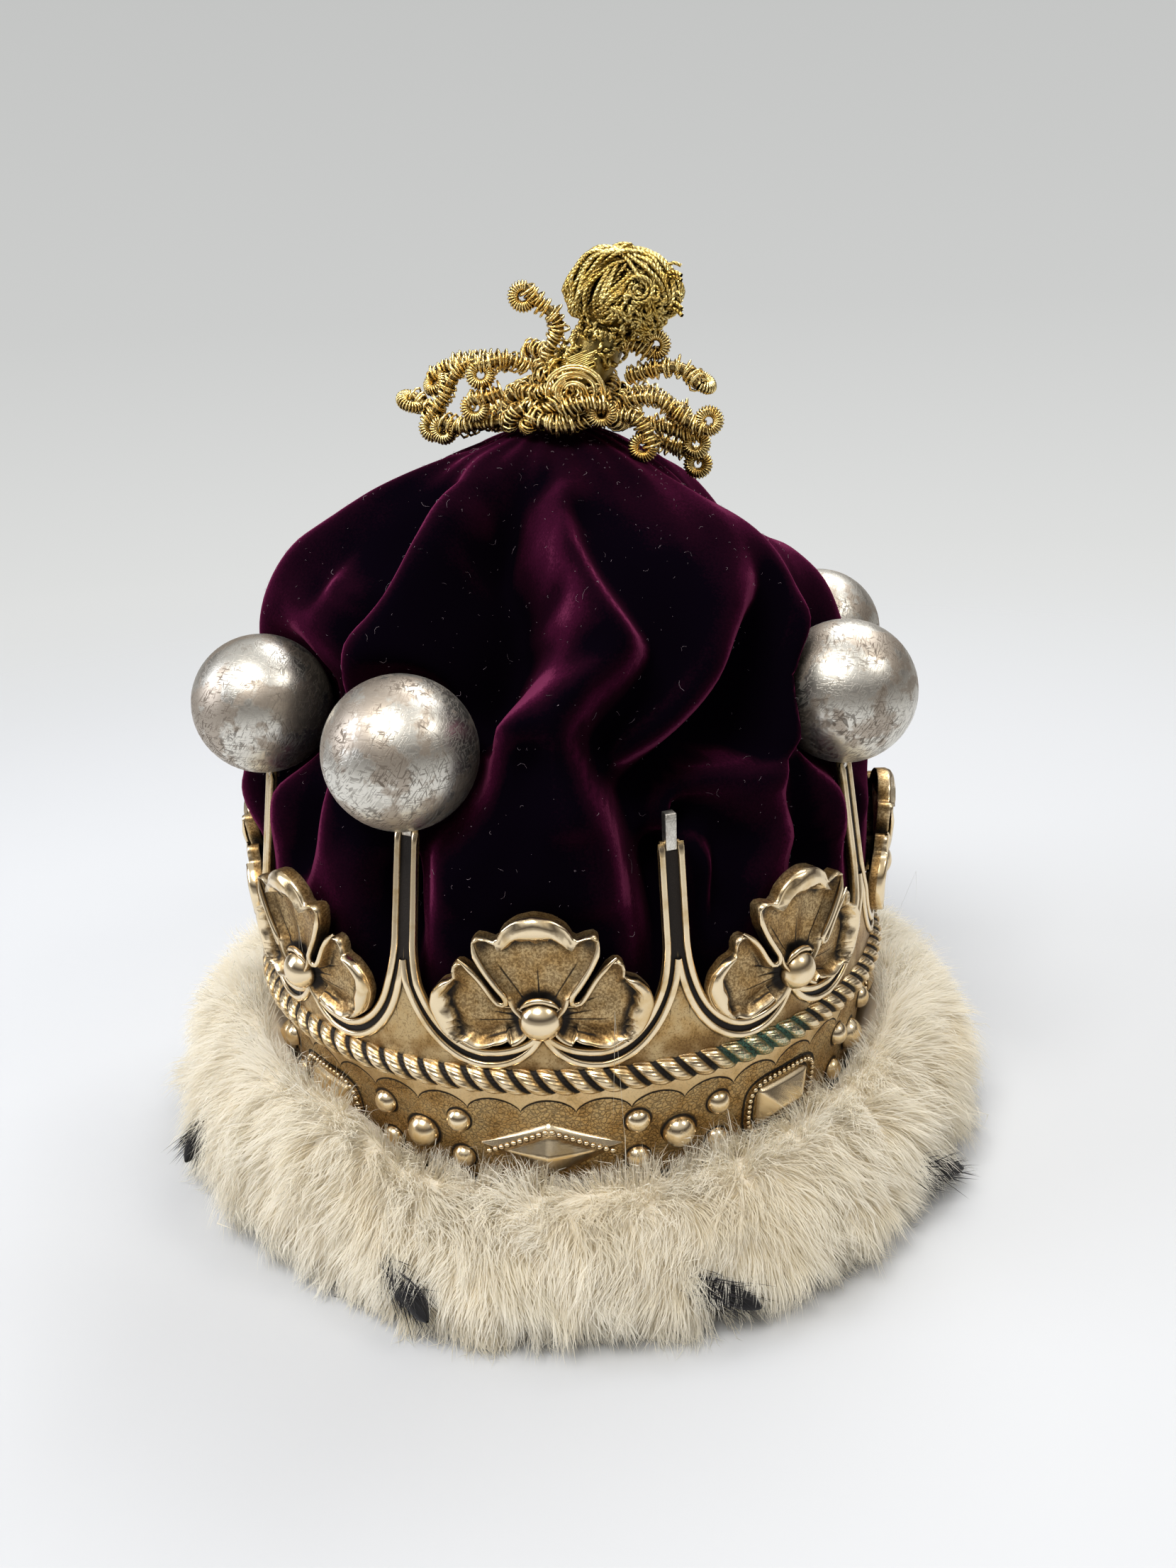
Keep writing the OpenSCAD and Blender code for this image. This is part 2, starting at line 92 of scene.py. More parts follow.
# Meshes: most shapes start from a flat bmesh grid, and are put in place point by point
def gridPattern(across, along):
    bm = bmesh.new()
    bmesh.ops.create_grid(bm, x_segments=across, y_segments=along, size=0.5)
    spots = np.array([vert.co[:2] for vert in bm.verts]) + 0.5
    faces = np.array([[vert.index for vert in face.verts] for face in bm.faces])
    bm.free()
    return spots[:, 0], spots[:, 1], faces


def joinedPiece(name, parts, weld=True, normals=None):
    # parts: (points of one copy or of many, faces of one copy, values by attribute name)
    points, faces, start, values = [], [], 0, {}
    names = sorted({key for part in parts for key in part[2]})
    for places, pattern, marks in parts:
        places = np.asarray(places, float)
        if places.ndim == 2:
            places = places[None]
        copies, count = places.shape[:2]
        points.append(places.reshape(-1, 3))
        corners = pattern[None] + (np.arange(copies) * count)[:, None, None] + start
        faces.extend(corners.reshape(-1, pattern.shape[1]).tolist())
        for key in names:  # a part without the value gets 0
            width = () if key != "plan" else (3,)
            value = np.broadcast_to(marks.get(key, 0.0), (copies, count) + width)
            values.setdefault(key, []).append(value.reshape((-1,) + width))
        start += copies * count
    mesh = bpy.data.meshes.new(name)
    mesh.from_pydata((np.concatenate(points) * mm).tolist(), [], faces)
    for key, chunks in values.items():
        kind = "FLOAT_VECTOR" if key == "plan" else "FLOAT"
        chunks = np.concatenate(chunks)
        if weld:  # kept on the corners, because welding would mix the values at a seam
            chunks = chunks[np.concatenate([np.ravel(face) for face in faces])]
        layer = mesh.attributes.new(key, kind, "CORNER" if weld else "POINT")
        layer.data.foreach_set("vector" if key == "plan" else "value", chunks.ravel())
    if weld:
        bm = bmesh.new()
        bm.from_mesh(mesh)
        bmesh.ops.remove_doubles(bm, verts=bm.verts, dist=0.002 * mm)
        bmesh.ops.recalc_face_normals(bm, faces=bm.faces)
        bm.to_mesh(mesh)
        bm.free()
    mesh.shade_smooth()
    if normals is not None:
        mesh.normals_split_custom_set_from_vertices(normals.reshape(-1, 3).tolist())
    piece = bpy.data.objects.new(name, mesh)
    bpy.context.collection.objects.link(piece)
    return piece


def dress(piece, material, slotName, *nodes):
    piece.data.materials.append(material)
    if nodes:
        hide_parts(*nodes)
    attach(piece, "root")
    return piece


def curveThrough(points, count):
    # An even run of points on a smooth curve through a few
    points = np.asarray(points, float)
    last = len(points) - 1
    t = np.linspace(0, last, count)
    i = np.clip(t.astype(int), 0, last - 1)
    f = (t - i)[:, None]
    before, after = points[np.maximum(i - 1, 0)], points[np.minimum(i + 2, last)]
    a, b = points[i], points[i + 1]
    bend = a + 0.5 * f * (b - before + f * (2 * before - 5 * a + 4 * b - after
                          + f * (3 * (a - b) + after - before)))
    step = np.concatenate([[0], np.cumsum(np.linalg.norm(np.diff(bend, axis=0), axis=1))])
    even = np.linspace(0, step[-1], count)
    return np.stack([np.interp(even, step, bend[:, k]) for k in range(3)], axis=1), step[-1]


def sidesOf(path):
    # Two unit vectors across a path at each of its points
    way = np.gradient(path, axis=0)
    way /= np.maximum(np.linalg.norm(way, axis=1, keepdims=True), 1e-9)
    side = np.zeros_like(way)
    keep = np.cross(way[0], [0.3, 0.5, 0.81])
    for k, forward in enumerate(way):
        keep = keep - forward * np.dot(keep, forward)
        keep = keep / np.linalg.norm(keep)
        side[k] = keep
    return way, side, np.cross(way, side)


def tubePart(path, radius, sides, marks=None, twist=0.0):
    # A round cord on a path; twist, in radians a millimetre, is how its two plies turn
    path = np.asarray(path, float)
    rings = len(path)
    u, v, faces = gridPattern(rings - 1, sides)
    ring = np.rint(u * (rings - 1)).astype(int)
    side, up = sidesOf(path)[1:]
    turn = 2 * np.pi * v
    along = np.concatenate([[0], np.cumsum(np.linalg.norm(np.diff(path, axis=0), axis=1))])
    thick = np.broadcast_to(radius, (rings,))[ring]
    out = side[ring] * np.cos(turn)[:, None] + up[ring] * np.sin(turn)[:, None]
    marks = dict(marks or {})
    if twist:
        marks["twist"] = 2 * turn - twist * along[ring]
    return path[ring] + out * thick[:, None], faces, marks


# Materials
def ink(text):
    # An sRGB hex colour as linear light
    parts = [int(text[k:k + 2], 16) / 255 for k in (1, 3, 5)]
    return tuple(c / 12.92 if c <= 0.04045 else ((c + 0.055) / 1.055) ** 2.4 for c in parts) + (1.0,)


eased = dict(interpolation_type="SMOOTHSTEP")  # a Map Range that starts and ends gently
ofColours = dict(data_type="RGBA")  # a Mix of two colours, with inputs 0, 6 and 7 and output 2


def addNode(tree, kind, inputs=(), out=0, stops=(), **settings):
    # One node with its settings, and with its values and links in order or by name. It gives back one of the
    # node's outputs, or the node where out is None
    made = tree.nodes.new("ShaderNode" + kind)
    for key, value in settings.items():
        setattr(made, key, value)
    rows = inputs.items() if isinstance(inputs, dict) else enumerate(inputs)
    for key, value in rows:
        if isinstance(value, bpy.types.NodeSocket):
            tree.links.new(value, made.inputs[key])
        else:
            made.inputs[key].default_value = value
    if stops:
        ramp = made.color_ramp
        while len(ramp.elements) < len(stops):
            ramp.elements.new(0.5)
        for spot, (place, colour) in zip(ramp.elements, stops):
            spot.position = place
            spot.color = ink(colour) if isinstance(colour, str) else (colour, colour, colour, 1)
    return made if out is None else made.outputs[out]


def flatDistance(tree, place):
    # How far a spot is from the upright axis, seen from above
    flat = addNode(tree, "VectorMath", [place, (1, 1, 0)], operation="MULTIPLY")
    return addNode(tree, "VectorMath", [flat], "Value", operation="LENGTH")


def newMaterial(name):
    material = bpy.data.materials.new(name)
    material.use_nodes = True
    tree = material.node_tree
    tree.nodes.clear()
    return material, tree, addNode(tree, "TexCoord", out="Object")


# Silver gilt, cast and chased: burnished on its edges, sanded matt inside, black sulphide in its grooves
giltLook = dict(
    burnished="#f0dcb8", worn="#dcc08f", matt="#c8af82", warm="#bf9b62", brown="#6a4f30", sulphide="#211b16",
    verdigris="#4f7f6c", burnishedRough=0.17, mattRough=0.42, sulphideRough=0.6,
    patches=(8, 4, 0.55), grain=(0.5, 2, 0.6), sand=(0.7, 3, 0.7),  # width in mm, detail, roughness
    hollow=3.4, relief=0.28, pit=1.2, scallops=40, scallopFoot=48.4, scallopRise=4.2,
    stained=(62, 72), greenAt=(0.057, -0.076, 0.0625), greenReach=(8, 19),
    # slant above the horizontal in radians, start and end from the boss's middle
    veins=[(-0.42, 9, 18), (-0.08, 7, 19), (0.13, 7, 15), (0.34, 8, 17), (1.02, 8, 21), (1.57, 7, 17)],
)


def giltMaterial(name, work):
    material, tree, place = newMaterial(name)
    look = giltLook
    polish = addNode(tree, "Attribute", out="Fac", attribute_name="polish")
    hollow = addNode(tree, "AmbientOcclusion", {"Distance": look["hollow"] * mm}, "AO", samples=6,
                     only_local=True)
    patches, grain = [
        addNode(tree, "TexNoise", {"Vector": place, "Scale": 1 / (size * mm), "Detail": detail,
                                   "Roughness": rough})
        for size, detail, rough in (look["patches"], look["grain"])]
    height = None
    if work == "band":
        polish, height = bandWork(tree, place, polish)
    if work == "leaf":
        polish, height = leafWork(tree, polish)
    if work == "rope":
        height = ropeWork(tree, place)
    grime = addNode(tree, "MapRange", [hollow, 0.4, 0.92, 1, 0], **eased)
    polish = addNode(tree, "Math", [grime, -0.85, polish], operation="MULTIPLY_ADD", use_clamp=True)
    share = addNode(tree, "MapRange", [patches, 0.35, 0.65], **eased)
    matt = addNode(tree, "Mix", {0: share, 6: ink(look["matt"]), 7: ink(look["warm"])}, 2, **ofColours)
    # Brown tarnish: in patches, in the grain, just over the rope, and in the leaves' sanded ground
    browns = [
        (addNode(tree, "MapRange", [patches, 0.5, 0.72], **eased),
         addNode(tree, "MapRange", [grain, 0.3, 0.62, 0, 0.75], **eased)),
        (addNode(tree, "MapRange", [grain, 0.52, 0.66], **eased), 0.5)]
    if work == "plain":
        rise = addNode(tree, "SeparateXYZ", [place], 2)
        low, high = look["stained"]
        browns.append((addNode(tree, "MapRange", [rise, low * mm, high * mm, 0.8, 0], **eased),
                       addNode(tree, "MapRange", [patches, 0.3, 0.6], **eased)))
    if work == "leaf":
        size, detail, rough = look["sand"]
        sand = addNode(tree, "TexNoise", {"Vector": place, "Scale": 1 / (size * mm), "Detail": detail,
                                          "Roughness": rough})
        browns.append((addNode(tree, "MapRange", [sand, 0.4, 0.6], **eased), 0.7))
    for stain, share in browns:
        share = addNode(tree, "Math", [stain, share], operation="MULTIPLY")
        matt = addNode(tree, "Mix", {0: share, 6: matt, 7: ink(look["brown"])}, 2, **ofColours)
    # From black grooves over matt gilding to burnished edges, rubbed in places
    cleaned = addNode(tree, "MapRange", [polish, 0.04, 0.42], **eased)
    low = addNode(tree, "Mix", {0: cleaned, 6: ink(look["sulphide"]), 7: matt}, 2, **ofColours)
    rubbed = addNode(tree, "MapRange", [patches, 0.5, 0.7], **eased)
    worn = addNode(tree, "Mix", {0: rubbed, 6: ink(look["burnished"]), 7: ink(look["worn"])}, 2, **ofColours)
    raised = addNode(tree, "MapRange", [polish, 0.5, 0.85], **eased)
    tone = addNode(tree, "Mix", {0: raised, 6: low, 7: worn}, 2, **ofColours)
    if work == "rope":
        # Verdigris on the rope's upper edge, right of the front
        near, end = look["greenReach"]
        far = addNode(tree, "VectorMath", [place, look["greenAt"]], "Value", operation="DISTANCE")
        spot = addNode(tree, "MapRange", [far, near * mm, end * mm, 0.75, 0], **eased)
        broken = addNode(tree, "MapRange", [grain, 0.35, 0.6], **eased)
        sour = addNode(tree, "Math", [spot, broken], operation="MULTIPLY")
        tone = addNode(tree, "Mix", {0: sour, 6: tone, 7: ink(look["verdigris"])}, 2, **ofColours)
    rough = addNode(tree, "ValToRGB", [polish], stops=[
        (0.0, look["sulphideRough"]), (0.45, look["mattRough"]), (0.85, look["burnishedRough"])])
    dulled = addNode(tree, "MapRange", [patches, 0.4, 0.8], **eased)
    rough = addNode(tree, "Math", [dulled, 0.1, rough], operation="MULTIPLY_ADD")
    sanded = addNode(tree, "MapRange", [polish, 0.45, 0.9, 1, 0.06], **eased)
    depth = addNode(tree, "Math", [grain, sanded], operation="MULTIPLY")
    if height is not None:
        depth = addNode(tree, "Math", [depth, 0.35, height], operation="MULTIPLY_ADD")
    bump = addNode(tree, "Bump", {"Strength": 0.5, "Distance": look["relief"] * mm, "Height": depth})
    metal = addNode(tree, "MapRange", [polish, 0, 0.35, 0.55, 1], **eased)
    shader = addNode(tree, "BsdfPrincipled", {"Base Color": tone, "Roughness": rough, "Normal": bump,
                                              "Metallic": metal})
    addNode(tree, "OutputMaterial", [shader], None)
    return material


def bandWork(tree, place, polish):
    # Chased scallops with a cut line, plain above them and stippled with a round punch below
    look = giltLook
    x, y, rise = addNode(tree, "SeparateXYZ", [place], None).outputs
    front = addNode(tree, "Math", [y, -1], operation="MULTIPLY")
    wave = addNode(tree, "Math", [x, front], operation="ARCTAN2")
    for step, value in (("MULTIPLY", look["scallops"] / 2), ("COSINE", 0), ("ABSOLUTE", 0), ("POWER", 0.55)):
        wave = addNode(tree, "Math", [wave, value], operation=step)
    line = addNode(tree, "Math", [wave, look["scallopRise"] * mm, look["scallopFoot"] * mm],
                   operation="MULTIPLY_ADD")
    over = addNode(tree, "Math", [rise, line], operation="SUBTRACT")
    plain = addNode(tree, "MapRange", [over, 0, 0.25 * mm], **eased)
    away = addNode(tree, "Math", [over], operation="ABSOLUTE")
    cut = addNode(tree, "MapRange", [away, 0.12 * mm, 0.42 * mm, 1, 0], **eased)
    # Pebbled ground, a pit's width from pit to pit, parted by dark wandering lines
    stir = addNode(tree, "TexNoise", {"Vector": place, "Scale": 1 / (2 * look["pit"] * mm), "Detail": 1},
                   "Color")
    moved = addNode(tree, "VectorMath", [stir, (1.5 * mm,) * 3, place], operation="MULTIPLY_ADD")
    cells = addNode(tree, "TexVoronoi", {"Vector": moved, "Scale": 1 / (look["pit"] * mm)}, "Distance",
                    feature="DISTANCE_TO_EDGE")
    pits = addNode(tree, "MapRange", [cells, 0.02, 0.17, 1, 0], **eased)
    ground = addNode(tree, "Math", [1, plain], operation="SUBTRACT")
    pits = addNode(tree, "Math", [pits, ground], operation="MULTIPLY")
    shine = addNode(tree, "Math", [plain, 0.14, polish], operation="MULTIPLY_ADD")
    shine = addNode(tree, "Math", [pits, -0.3, shine], operation="MULTIPLY_ADD")
    shine = addNode(tree, "Math", [cut, -0.6, shine], operation="MULTIPLY_ADD", use_clamp=True)
    sunk = addNode(tree, "Math", [cut, 1.2, pits], operation="MULTIPLY_ADD")
    return shine, addNode(tree, "Math", [1, sunk], operation="SUBTRACT")


def ropeWork(tree, place):
    # Fine grooves that run round each strand, about 0.6 mm apart
    x, y, z = addNode(tree, "SeparateXYZ", [place], None).outputs
    rise = addNode(tree, "Math", [z, band["ropeHeight"] * mm], operation="SUBTRACT")
    far = flatDistance(tree, place)
    far = addNode(tree, "Math", [far, (band["rimRadius"] - 0.6) * mm], operation="SUBTRACT")
    tilt = addNode(tree, "Math", [rise, far], operation="ARCTAN2")
    turn = addNode(tree, "Math", [y, x], operation="ARCTAN2")
    phase = addNode(tree, "Math", [tilt, 20], operation="MULTIPLY")
    phase = addNode(tree, "Math", [turn, ropeLook["strands"], phase], operation="MULTIPLY_ADD")
    groove = addNode(tree, "Math", [phase], operation="SINE")
    return addNode(tree, "Math", [groove, 0.4], operation="MULTIPLY")


def leafWork(tree, polish):
    # Veins cut into the petals from the boss outwards
    plan = addNode(tree, "Attribute", out="Vector", attribute_name="plan")
    x, z = addNode(tree, "SeparateXYZ", [plan], None).outputs[:2]
    wide = addNode(tree, "Math", [x], operation="ABSOLUTE")
    angle = addNode(tree, "Math", [z, wide], operation="ARCTAN2")
    reach = addNode(tree, "VectorMath", [plan], "Value", operation="LENGTH")
    cut = 0
    for slant, start, end in giltLook["veins"]:
        off = addNode(tree, "Math", [angle, slant], operation="SUBTRACT")
        off = addNode(tree, "Math", [off, reach], operation="MULTIPLY")
        off = addNode(tree, "Math", [off], operation="ABSOLUTE")
        vein = addNode(tree, "MapRange", [off, 0.05, 0.34, 1, 0], **eased)
        for fade in ([start - 2, start], [end - 5, end, 1, 0]):
            near = addNode(tree, "MapRange", [reach] + fade, **eased)
            vein = addNode(tree, "Math", [vein, near], operation="MULTIPLY")
        cut = addNode(tree, "Math", [cut, vein], operation="MAXIMUM")
    shine = addNode(tree, "Math", [cut, -0.38, polish], operation="MULTIPLY_ADD", use_clamp=True)
    return shine, addNode(tree, "Math", [cut, -1.1, 1], operation="MULTIPLY_ADD")


# Circlet
def bandPiece(material):
    u, v, faces = gridPattern(480, 30)
    angle = u * 360
    wall = [0, 0.66, 0.74, 0.95, 1]  # foot and rim outside, rim and foot inside, foot
    stretch = band["ropeHeight"] - 2 - band["footHeight"]
    height = band["footHeight"] + stretch * np.interp(v, wall, [0, 1, 1, 0, 0])
    inner = np.interp(v, wall, [0, 0, 1, 1, 0])
    radius = sheetRadius(height) - inner * band["sheet"]
    # Shallow hand-hammered unevenness
    radius += (1 - inner) * 0.12 * np.sin(np.radians(angle * 13)) * np.sin(height * 0.31)
    polish = np.where(inner > 0, 0.4, 0.53)
    piece = joinedPiece("lower_band", [(around(radius, angle, height), faces, {"polish": polish})])
    return dress(piece, material, "gilt", "circlet")


ropeLook = dict(strands=96, slant=3.9, fill=0.84, groove=0.45)


def ropePiece(material):
    look = ropeLook
    u, v, faces = gridPattern(look["strands"] * 9, 14)
    tilt = (v - 0.5) * np.pi
    turn = u * look["strands"]
    beside = np.abs((turn % 1) - 0.5) * 2  # 0 on a strand's crest, 1 in the groove
    swell = np.sqrt(np.clip(1 - (beside / look["fill"]) ** 2, 0, 1))
    radius = band["ropeRadius"] * (look["groove"] + (1.08 - look["groove"]) * swell)
    angle = u * 360 - look["slant"] * np.sin(tilt) / 2
    height = band["ropeHeight"] + (band["ropeRadius"] + 0.25 * swell) * np.sin(tilt)
    out = sheetRadius(band["ropeHeight"]) - 0.6 + (radius + 0.6) * np.cos(tilt)
    polish = 0.03 + 0.72 * smoothStep(swell, 0.3, 0.97)
    rope = joinedPiece("rope_moulding", [(around(out, angle, height), faces, {"polish": polish})])
    return dress(rope, material, "gilt")


# Centre lines of the two mouldings of half a bay, x from the leaf's middle
mouldLook = dict(
    lowX=14.5, raySide=34.15, sideHeight=95, cuspHeight=78.1, width=2.15, rise=1.45, foot=57,
    # reach and depth towards the ray, reach and depth towards the leaf
    outer=(19.65, 28, 16, 11), inner=(22.7, 31.7, 15.2, 14.7),
)


def mouldLine(sizes, count, start, end):
    toRay, rayDepth, toCusp, cuspDepth = sizes
    look = mouldLook
    t = np.linspace(start, end, count)
    x = np.where(t < 0, look["lowX"] + toCusp * np.sin(t), look["lowX"] + toRay * np.sin(t))
    z = np.where(t < 0, look["cuspHeight"] - cuspDepth * np.cos(t), look["sideHeight"] - rayDepth * np.cos(t))
    return x, z


def onBay(ray, side, x, z, lift):
    angle = bent(ray[0] + side * (band["halfBay"] - degreesFor(x)))
    return around(sheetRadius(z, ray) + lift, angle, z)


def mouldParts(ray, side):
    # Half-round bars: the outer one runs on up the ray, the inner one ends in the fork under it
    look = mouldLook
    u, v, faces = gridPattern(64, 10)
    parts = []
    for sizes in (look["outer"], look["inner"]):
        outer = sizes is look["outer"]
        start = -np.arcsin(min(1, look["lowX"] / sizes[2]))
        half = band["girth"] * np.radians(band["halfBay"])
        end = np.pi / 2 if outer else np.arcsin((half - look["lowX"]) / sizes[0])
        x, z = mouldLine(sizes, 50 if outer else 65, start, end)
        if outer:
            x = np.concatenate([x, np.full(15, look["raySide"])])
            z = np.concatenate([z, np.linspace(look["sideHeight"] + 2, ray[1], 15)])
        dx, dz = np.gradient(x), np.gradient(z)
        size = np.hypot(dx, dz)
        k = np.rint(u * 64).astype(int)
        # A section a little flattened on top, open at the back, where the sheet is
        turn = (v - 0.5) * np.pi
        across = look["width"] / 2 * np.sign(turn) * np.abs(np.sin(turn)) ** 0.8
        lift = look["rise"] * np.cos(turn) ** 0.55 - 0.35
        width = np.ones(65)
        if outer:
            width = np.interp(z, [70, 84, ray[1]], [1.0, 1.02, 0.92])
        ends = smoothStep(np.minimum(u, 1 - u), 0, 0.012)
        lift = np.where((u > 0.99) & outer, lift * ends + 0.2 * (1 - ends), lift)
        px = x[k] - dz[k] / size[k] * across * width[k]
        pz = z[k] + dx[k] / size[k] * across * width[k]
        parts.append((onBay(ray, side, px, np.minimum(pz, ray[1]), lift), faces,
                      {"polish": 0.2 + 0.8 * smoothStep(lift, -0.1, 0.75)}))
    return parts


def archHeight(x, sizes):
    # Height of a moulding's middle over each x
    toRay, rayDepth, toCusp, cuspDepth = sizes
    look = mouldLook
    left = look["cuspHeight"] - cuspDepth * np.sqrt(np.clip(1 - ((look["lowX"] - x) / toCusp) ** 2, 0, 1))
    right = look["sideHeight"] - rayDepth * np.sqrt(np.clip(1 - ((x - look["lowX"]) / toRay) ** 2, 0, 1))
    return np.where(x < look["lowX"], left, right)


def platePart(ray, side):
    # The pierced sheet behind the mouldings, from the rope to their middles, and up the ray
    look = mouldLook
    half = band["girth"] * np.radians(band["halfBay"])
    u, v, faces = gridPattern(64, 20)
    columns = np.concatenate([np.linspace(0, 30, 30), np.linspace(30.6, look["raySide"] - 0.03, 22),
                              np.linspace(look["raySide"], half, 13)])
    x = columns[np.rint(u * 64).astype(int)]
    wall = [0, 0.62, 0.7, 1]  # foot and top in front, top and foot behind
    top = np.where(x > look["raySide"] - 0.02, ray[1], archHeight(x, look["outer"]))
    height = look["foot"] + (top - look["foot"]) * np.interp(v, wall, [0, 1, 1, 0])
    back = np.interp(v, wall, [0, 0, 1, 1])
    channel = smoothStep(height - archHeight(x, look["inner"]), -0.4, 0.4)
    lift = -back * band["sheet"] + (1 - back) * (0.15 * channel + 0.25 * (1 - channel))
    polish = np.where(back > 0, 0.4, 0.5 - 0.5 * channel)
    return onBay(ray, side, x, height, lift), faces, {"polish": polish}


tenonLook = dict(width=2.9, height=9.6, bevel=0.3, inset=1.95, middle=2.8)


def tenonPart(ray):
    # A filed square tenon with a worn top edge
    look = tenonLook
    bm = bmesh.new()
    bmesh.ops.create_cube(bm, size=1)
    bmesh.ops.scale(bm, vec=(look["width"], look["width"], look["height"]), verts=bm.verts)
    bmesh.ops.bevel(bm, geom=bm.edges, offset=look["bevel"], offset_type="OFFSET", affect="EDGES", segments=2,
                    profile=0.5, material=-1)
    bmesh.ops.triangulate(bm, faces=bm.faces)
    bmesh.ops.translate(bm, vec=(0, look["inset"] - ray[2], ray[1] + look["middle"]), verts=bm.verts)
    bmesh.ops.rotate(bm, matrix=Matrix.Rotation(np.radians(bent(ray[0])), 3, "Z"), verts=bm.verts)
    points = np.array([vert.co[:] for vert in bm.verts])
    faces = np.array([[vert.index for vert in face.verts] for face in bm.faces])
    bm.free()
    return points, faces, {}


# A leaf: a top petal and two side petals round a boss
leafLook = dict(
    topAt=(0, 8), sideAt=(10, 0), topStart=-90, sideStart=-170, topLift=1.0, sideLift=0.2,
    cup=2.0, bead=0.95, beadWidth=1.2, collar=6.0,
    # sideways, up and outwards, from the tip of the top petal's ear round to that of the side petal
    notch=[(14.6, 22.4, 2.6), (14.2, 18.8, 2.9), (12.1, 14.2, 2.9), (9.6, 10, 2.9), (7.9, 7.2, 2.7),
           (7.9, 5.3, 2.4), (9.6, 5, 2.2), (11.2, 6.8, 2.1), (13.9, 11.5, 2.1), (16.8, 15.1, 2.1),
           (18.9, 16.9, 1.8)],
    # half outlines of the petals about their own middles: angles and reaches
    top=([-90, -50, -12, 10, 25, 36, 45, 49, 53, 57, 61, 66, 78, 90],
         [10, 8, 7.7, 10.1, 13.6, 17.9, 21.1, 21.0, 19.4, 17.4, 17.9, 19.3, 20.8, 21.4]),
    side=([-109, -74, -51, -35, -29, -17, -4, 8, 21, 36, 43, 47, 52, 57, 62, 66, 70, 80, 109, 150, 190],
          [6, 7.8, 11.2, 12.3, 13.9, 15.7, 17, 18.2, 18.3, 17.3, 16.2, 15.9, 17.9, 18.8, 18.4, 16.6, 12, 6.7,
           5, 7, 8]),
)


def petalReach(kind, turn):
    # The turn inside the outline's table, and how far the outline is from the petal's middle there
    if kind == "top":
        folded = np.where(turn > 90, 180 - turn, turn)
    else:
        folded = np.where(turn < -109, turn + 360, turn)
    return folded, np.interp(folded, *leafLook[kind])


def petalPart(angle, kind, side):
    look = leafLook
    middleX, middleZ = look[kind + "At"]
    start, lift = look[kind + "Start"], look[kind + "Lift"]
    u, v, faces = gridPattern(96, 17)
    turn = start + 360 * u
    folded, reach = petalReach(kind, turn)
    share = np.interp(v, [0, 0.06, 0.86, 1], [0, 0.12, 0.965, 1])
    far = reach * share
    inside = reach - far  # distance in from the outline
    px = middleX + far * np.cos(np.radians(turn))
    pz = middleZ + far * np.sin(np.radians(turn))
    # A rolled lip on the petal's end, with a wavy lower line
    if kind == "top":
        spread = np.clip(1 - (px / 9.6) ** 2, 0, 1)
        deep = 6.3 * spread ** 0.75 + 0.8 * np.cos(px * 0.62) * spread
        tip = smoothStep(np.where(turn > 0, 1.0, 0.0) * (60 - np.abs(turn - 90)), 20, 27)
        into = middleZ + 21.2 - 0.105 * px ** 2 - pz
    else:
        spread = np.clip(1 - ((folded - 6) / 40) ** 2, 0, 1)
        deep = 4.6 * spread ** 0.7 + 0.7 * np.cos(np.radians(folded * 7.5)) * spread
        tip = smoothStep(spread, 0.0, 0.12)
        into = inside
    lip = tip * (1 - smoothStep(into, deep - 0.45, deep + 0.05))
    bulge = np.sin(np.pi * np.clip(into / np.maximum(deep, 0.5), 0, 1) ** 0.8)
    bead = np.exp(-((inside - 0.55) / (look["beadWidth"] / 2)) ** 2) * (1 - lip)
    cup = look["cup"] * smoothStep(inside, 0.3, 4.5) * (1 - lip)
    under = tip * (1 - lip) * (1 - smoothStep(into, deep, deep + 2.6))
    rise = lift + 1.15 + look["bead"] * bead - cup + lip * (0.35 + 1.5 * bulge) - 0.7 * under
    rise += 0.5 * np.cos(np.arctan2(pz, np.abs(px)) * 7) * smoothStep(inside, 1.5, 4) * (1 - lip)
    edge = smoothStep(v, 0.93, 1.0)
    rise = rise * (1 - edge) + (lift + 0.7) * edge
    earDark = smoothStep(far, 14.2, 18.5) * (1 - lip) * (1 - bead)
    polish = 0.5 - 0.34 * earDark - 0.46 * under - 0.5 * (1 - smoothStep(np.hypot(px, pz), 6.2, 8.6))
    polish = np.clip(polish, 0.02, 1) * (1 - bead) + 0.97 * bead
    polish = polish * (1 - lip) + lip
    height = band["bossHeight"] + pz
    place = around(leafRadius(height) + rise, angle + side * degreesFor(px), height)
    plan = np.stack([px, pz, np.zeros_like(px)], axis=1)
    # The outline turned back to the sheet, so that the petal has a thick edge
    u, v, wallFaces = gridPattern(96, 2)
    turn = start + 360 * u
    reach = petalReach(kind, turn)[1]
    px = middleX + reach * np.cos(np.radians(turn))
    pz = middleZ + reach * np.sin(np.radians(turn))
    height = band["bossHeight"] + pz
    wall = around(leafRadius(height) + lift + 0.7 - (2.1 + lift) * v, angle + side * degreesFor(px), height)
    wallPlan = np.stack([px + 90, pz, np.zeros_like(px)], axis=1)
    return [(place, faces, {"polish": polish, "plan": plan}),
            (wall, wallFaces, {"polish": 0.6 - 0.4 * v, "plan": wallPlan})]


def domeParts(base, angle, height, radius, rings, sides):
    # A burnished boss in a dark ring
    u, v, faces = gridPattern(sides, rings)
    bow = v * np.pi / 2
    x = radius * np.cos(bow) * np.cos(2 * np.pi * u)
    z = radius * np.cos(bow) * np.sin(2 * np.pi * u)
    place = around(base + 0.92 * radius * np.sin(bow), angle + degreesFor(x), height + z)
    return [(place, faces, {"polish": np.interp(v, [0, 0.06, 0.14], [0.05, 0.5, 1.0])})]


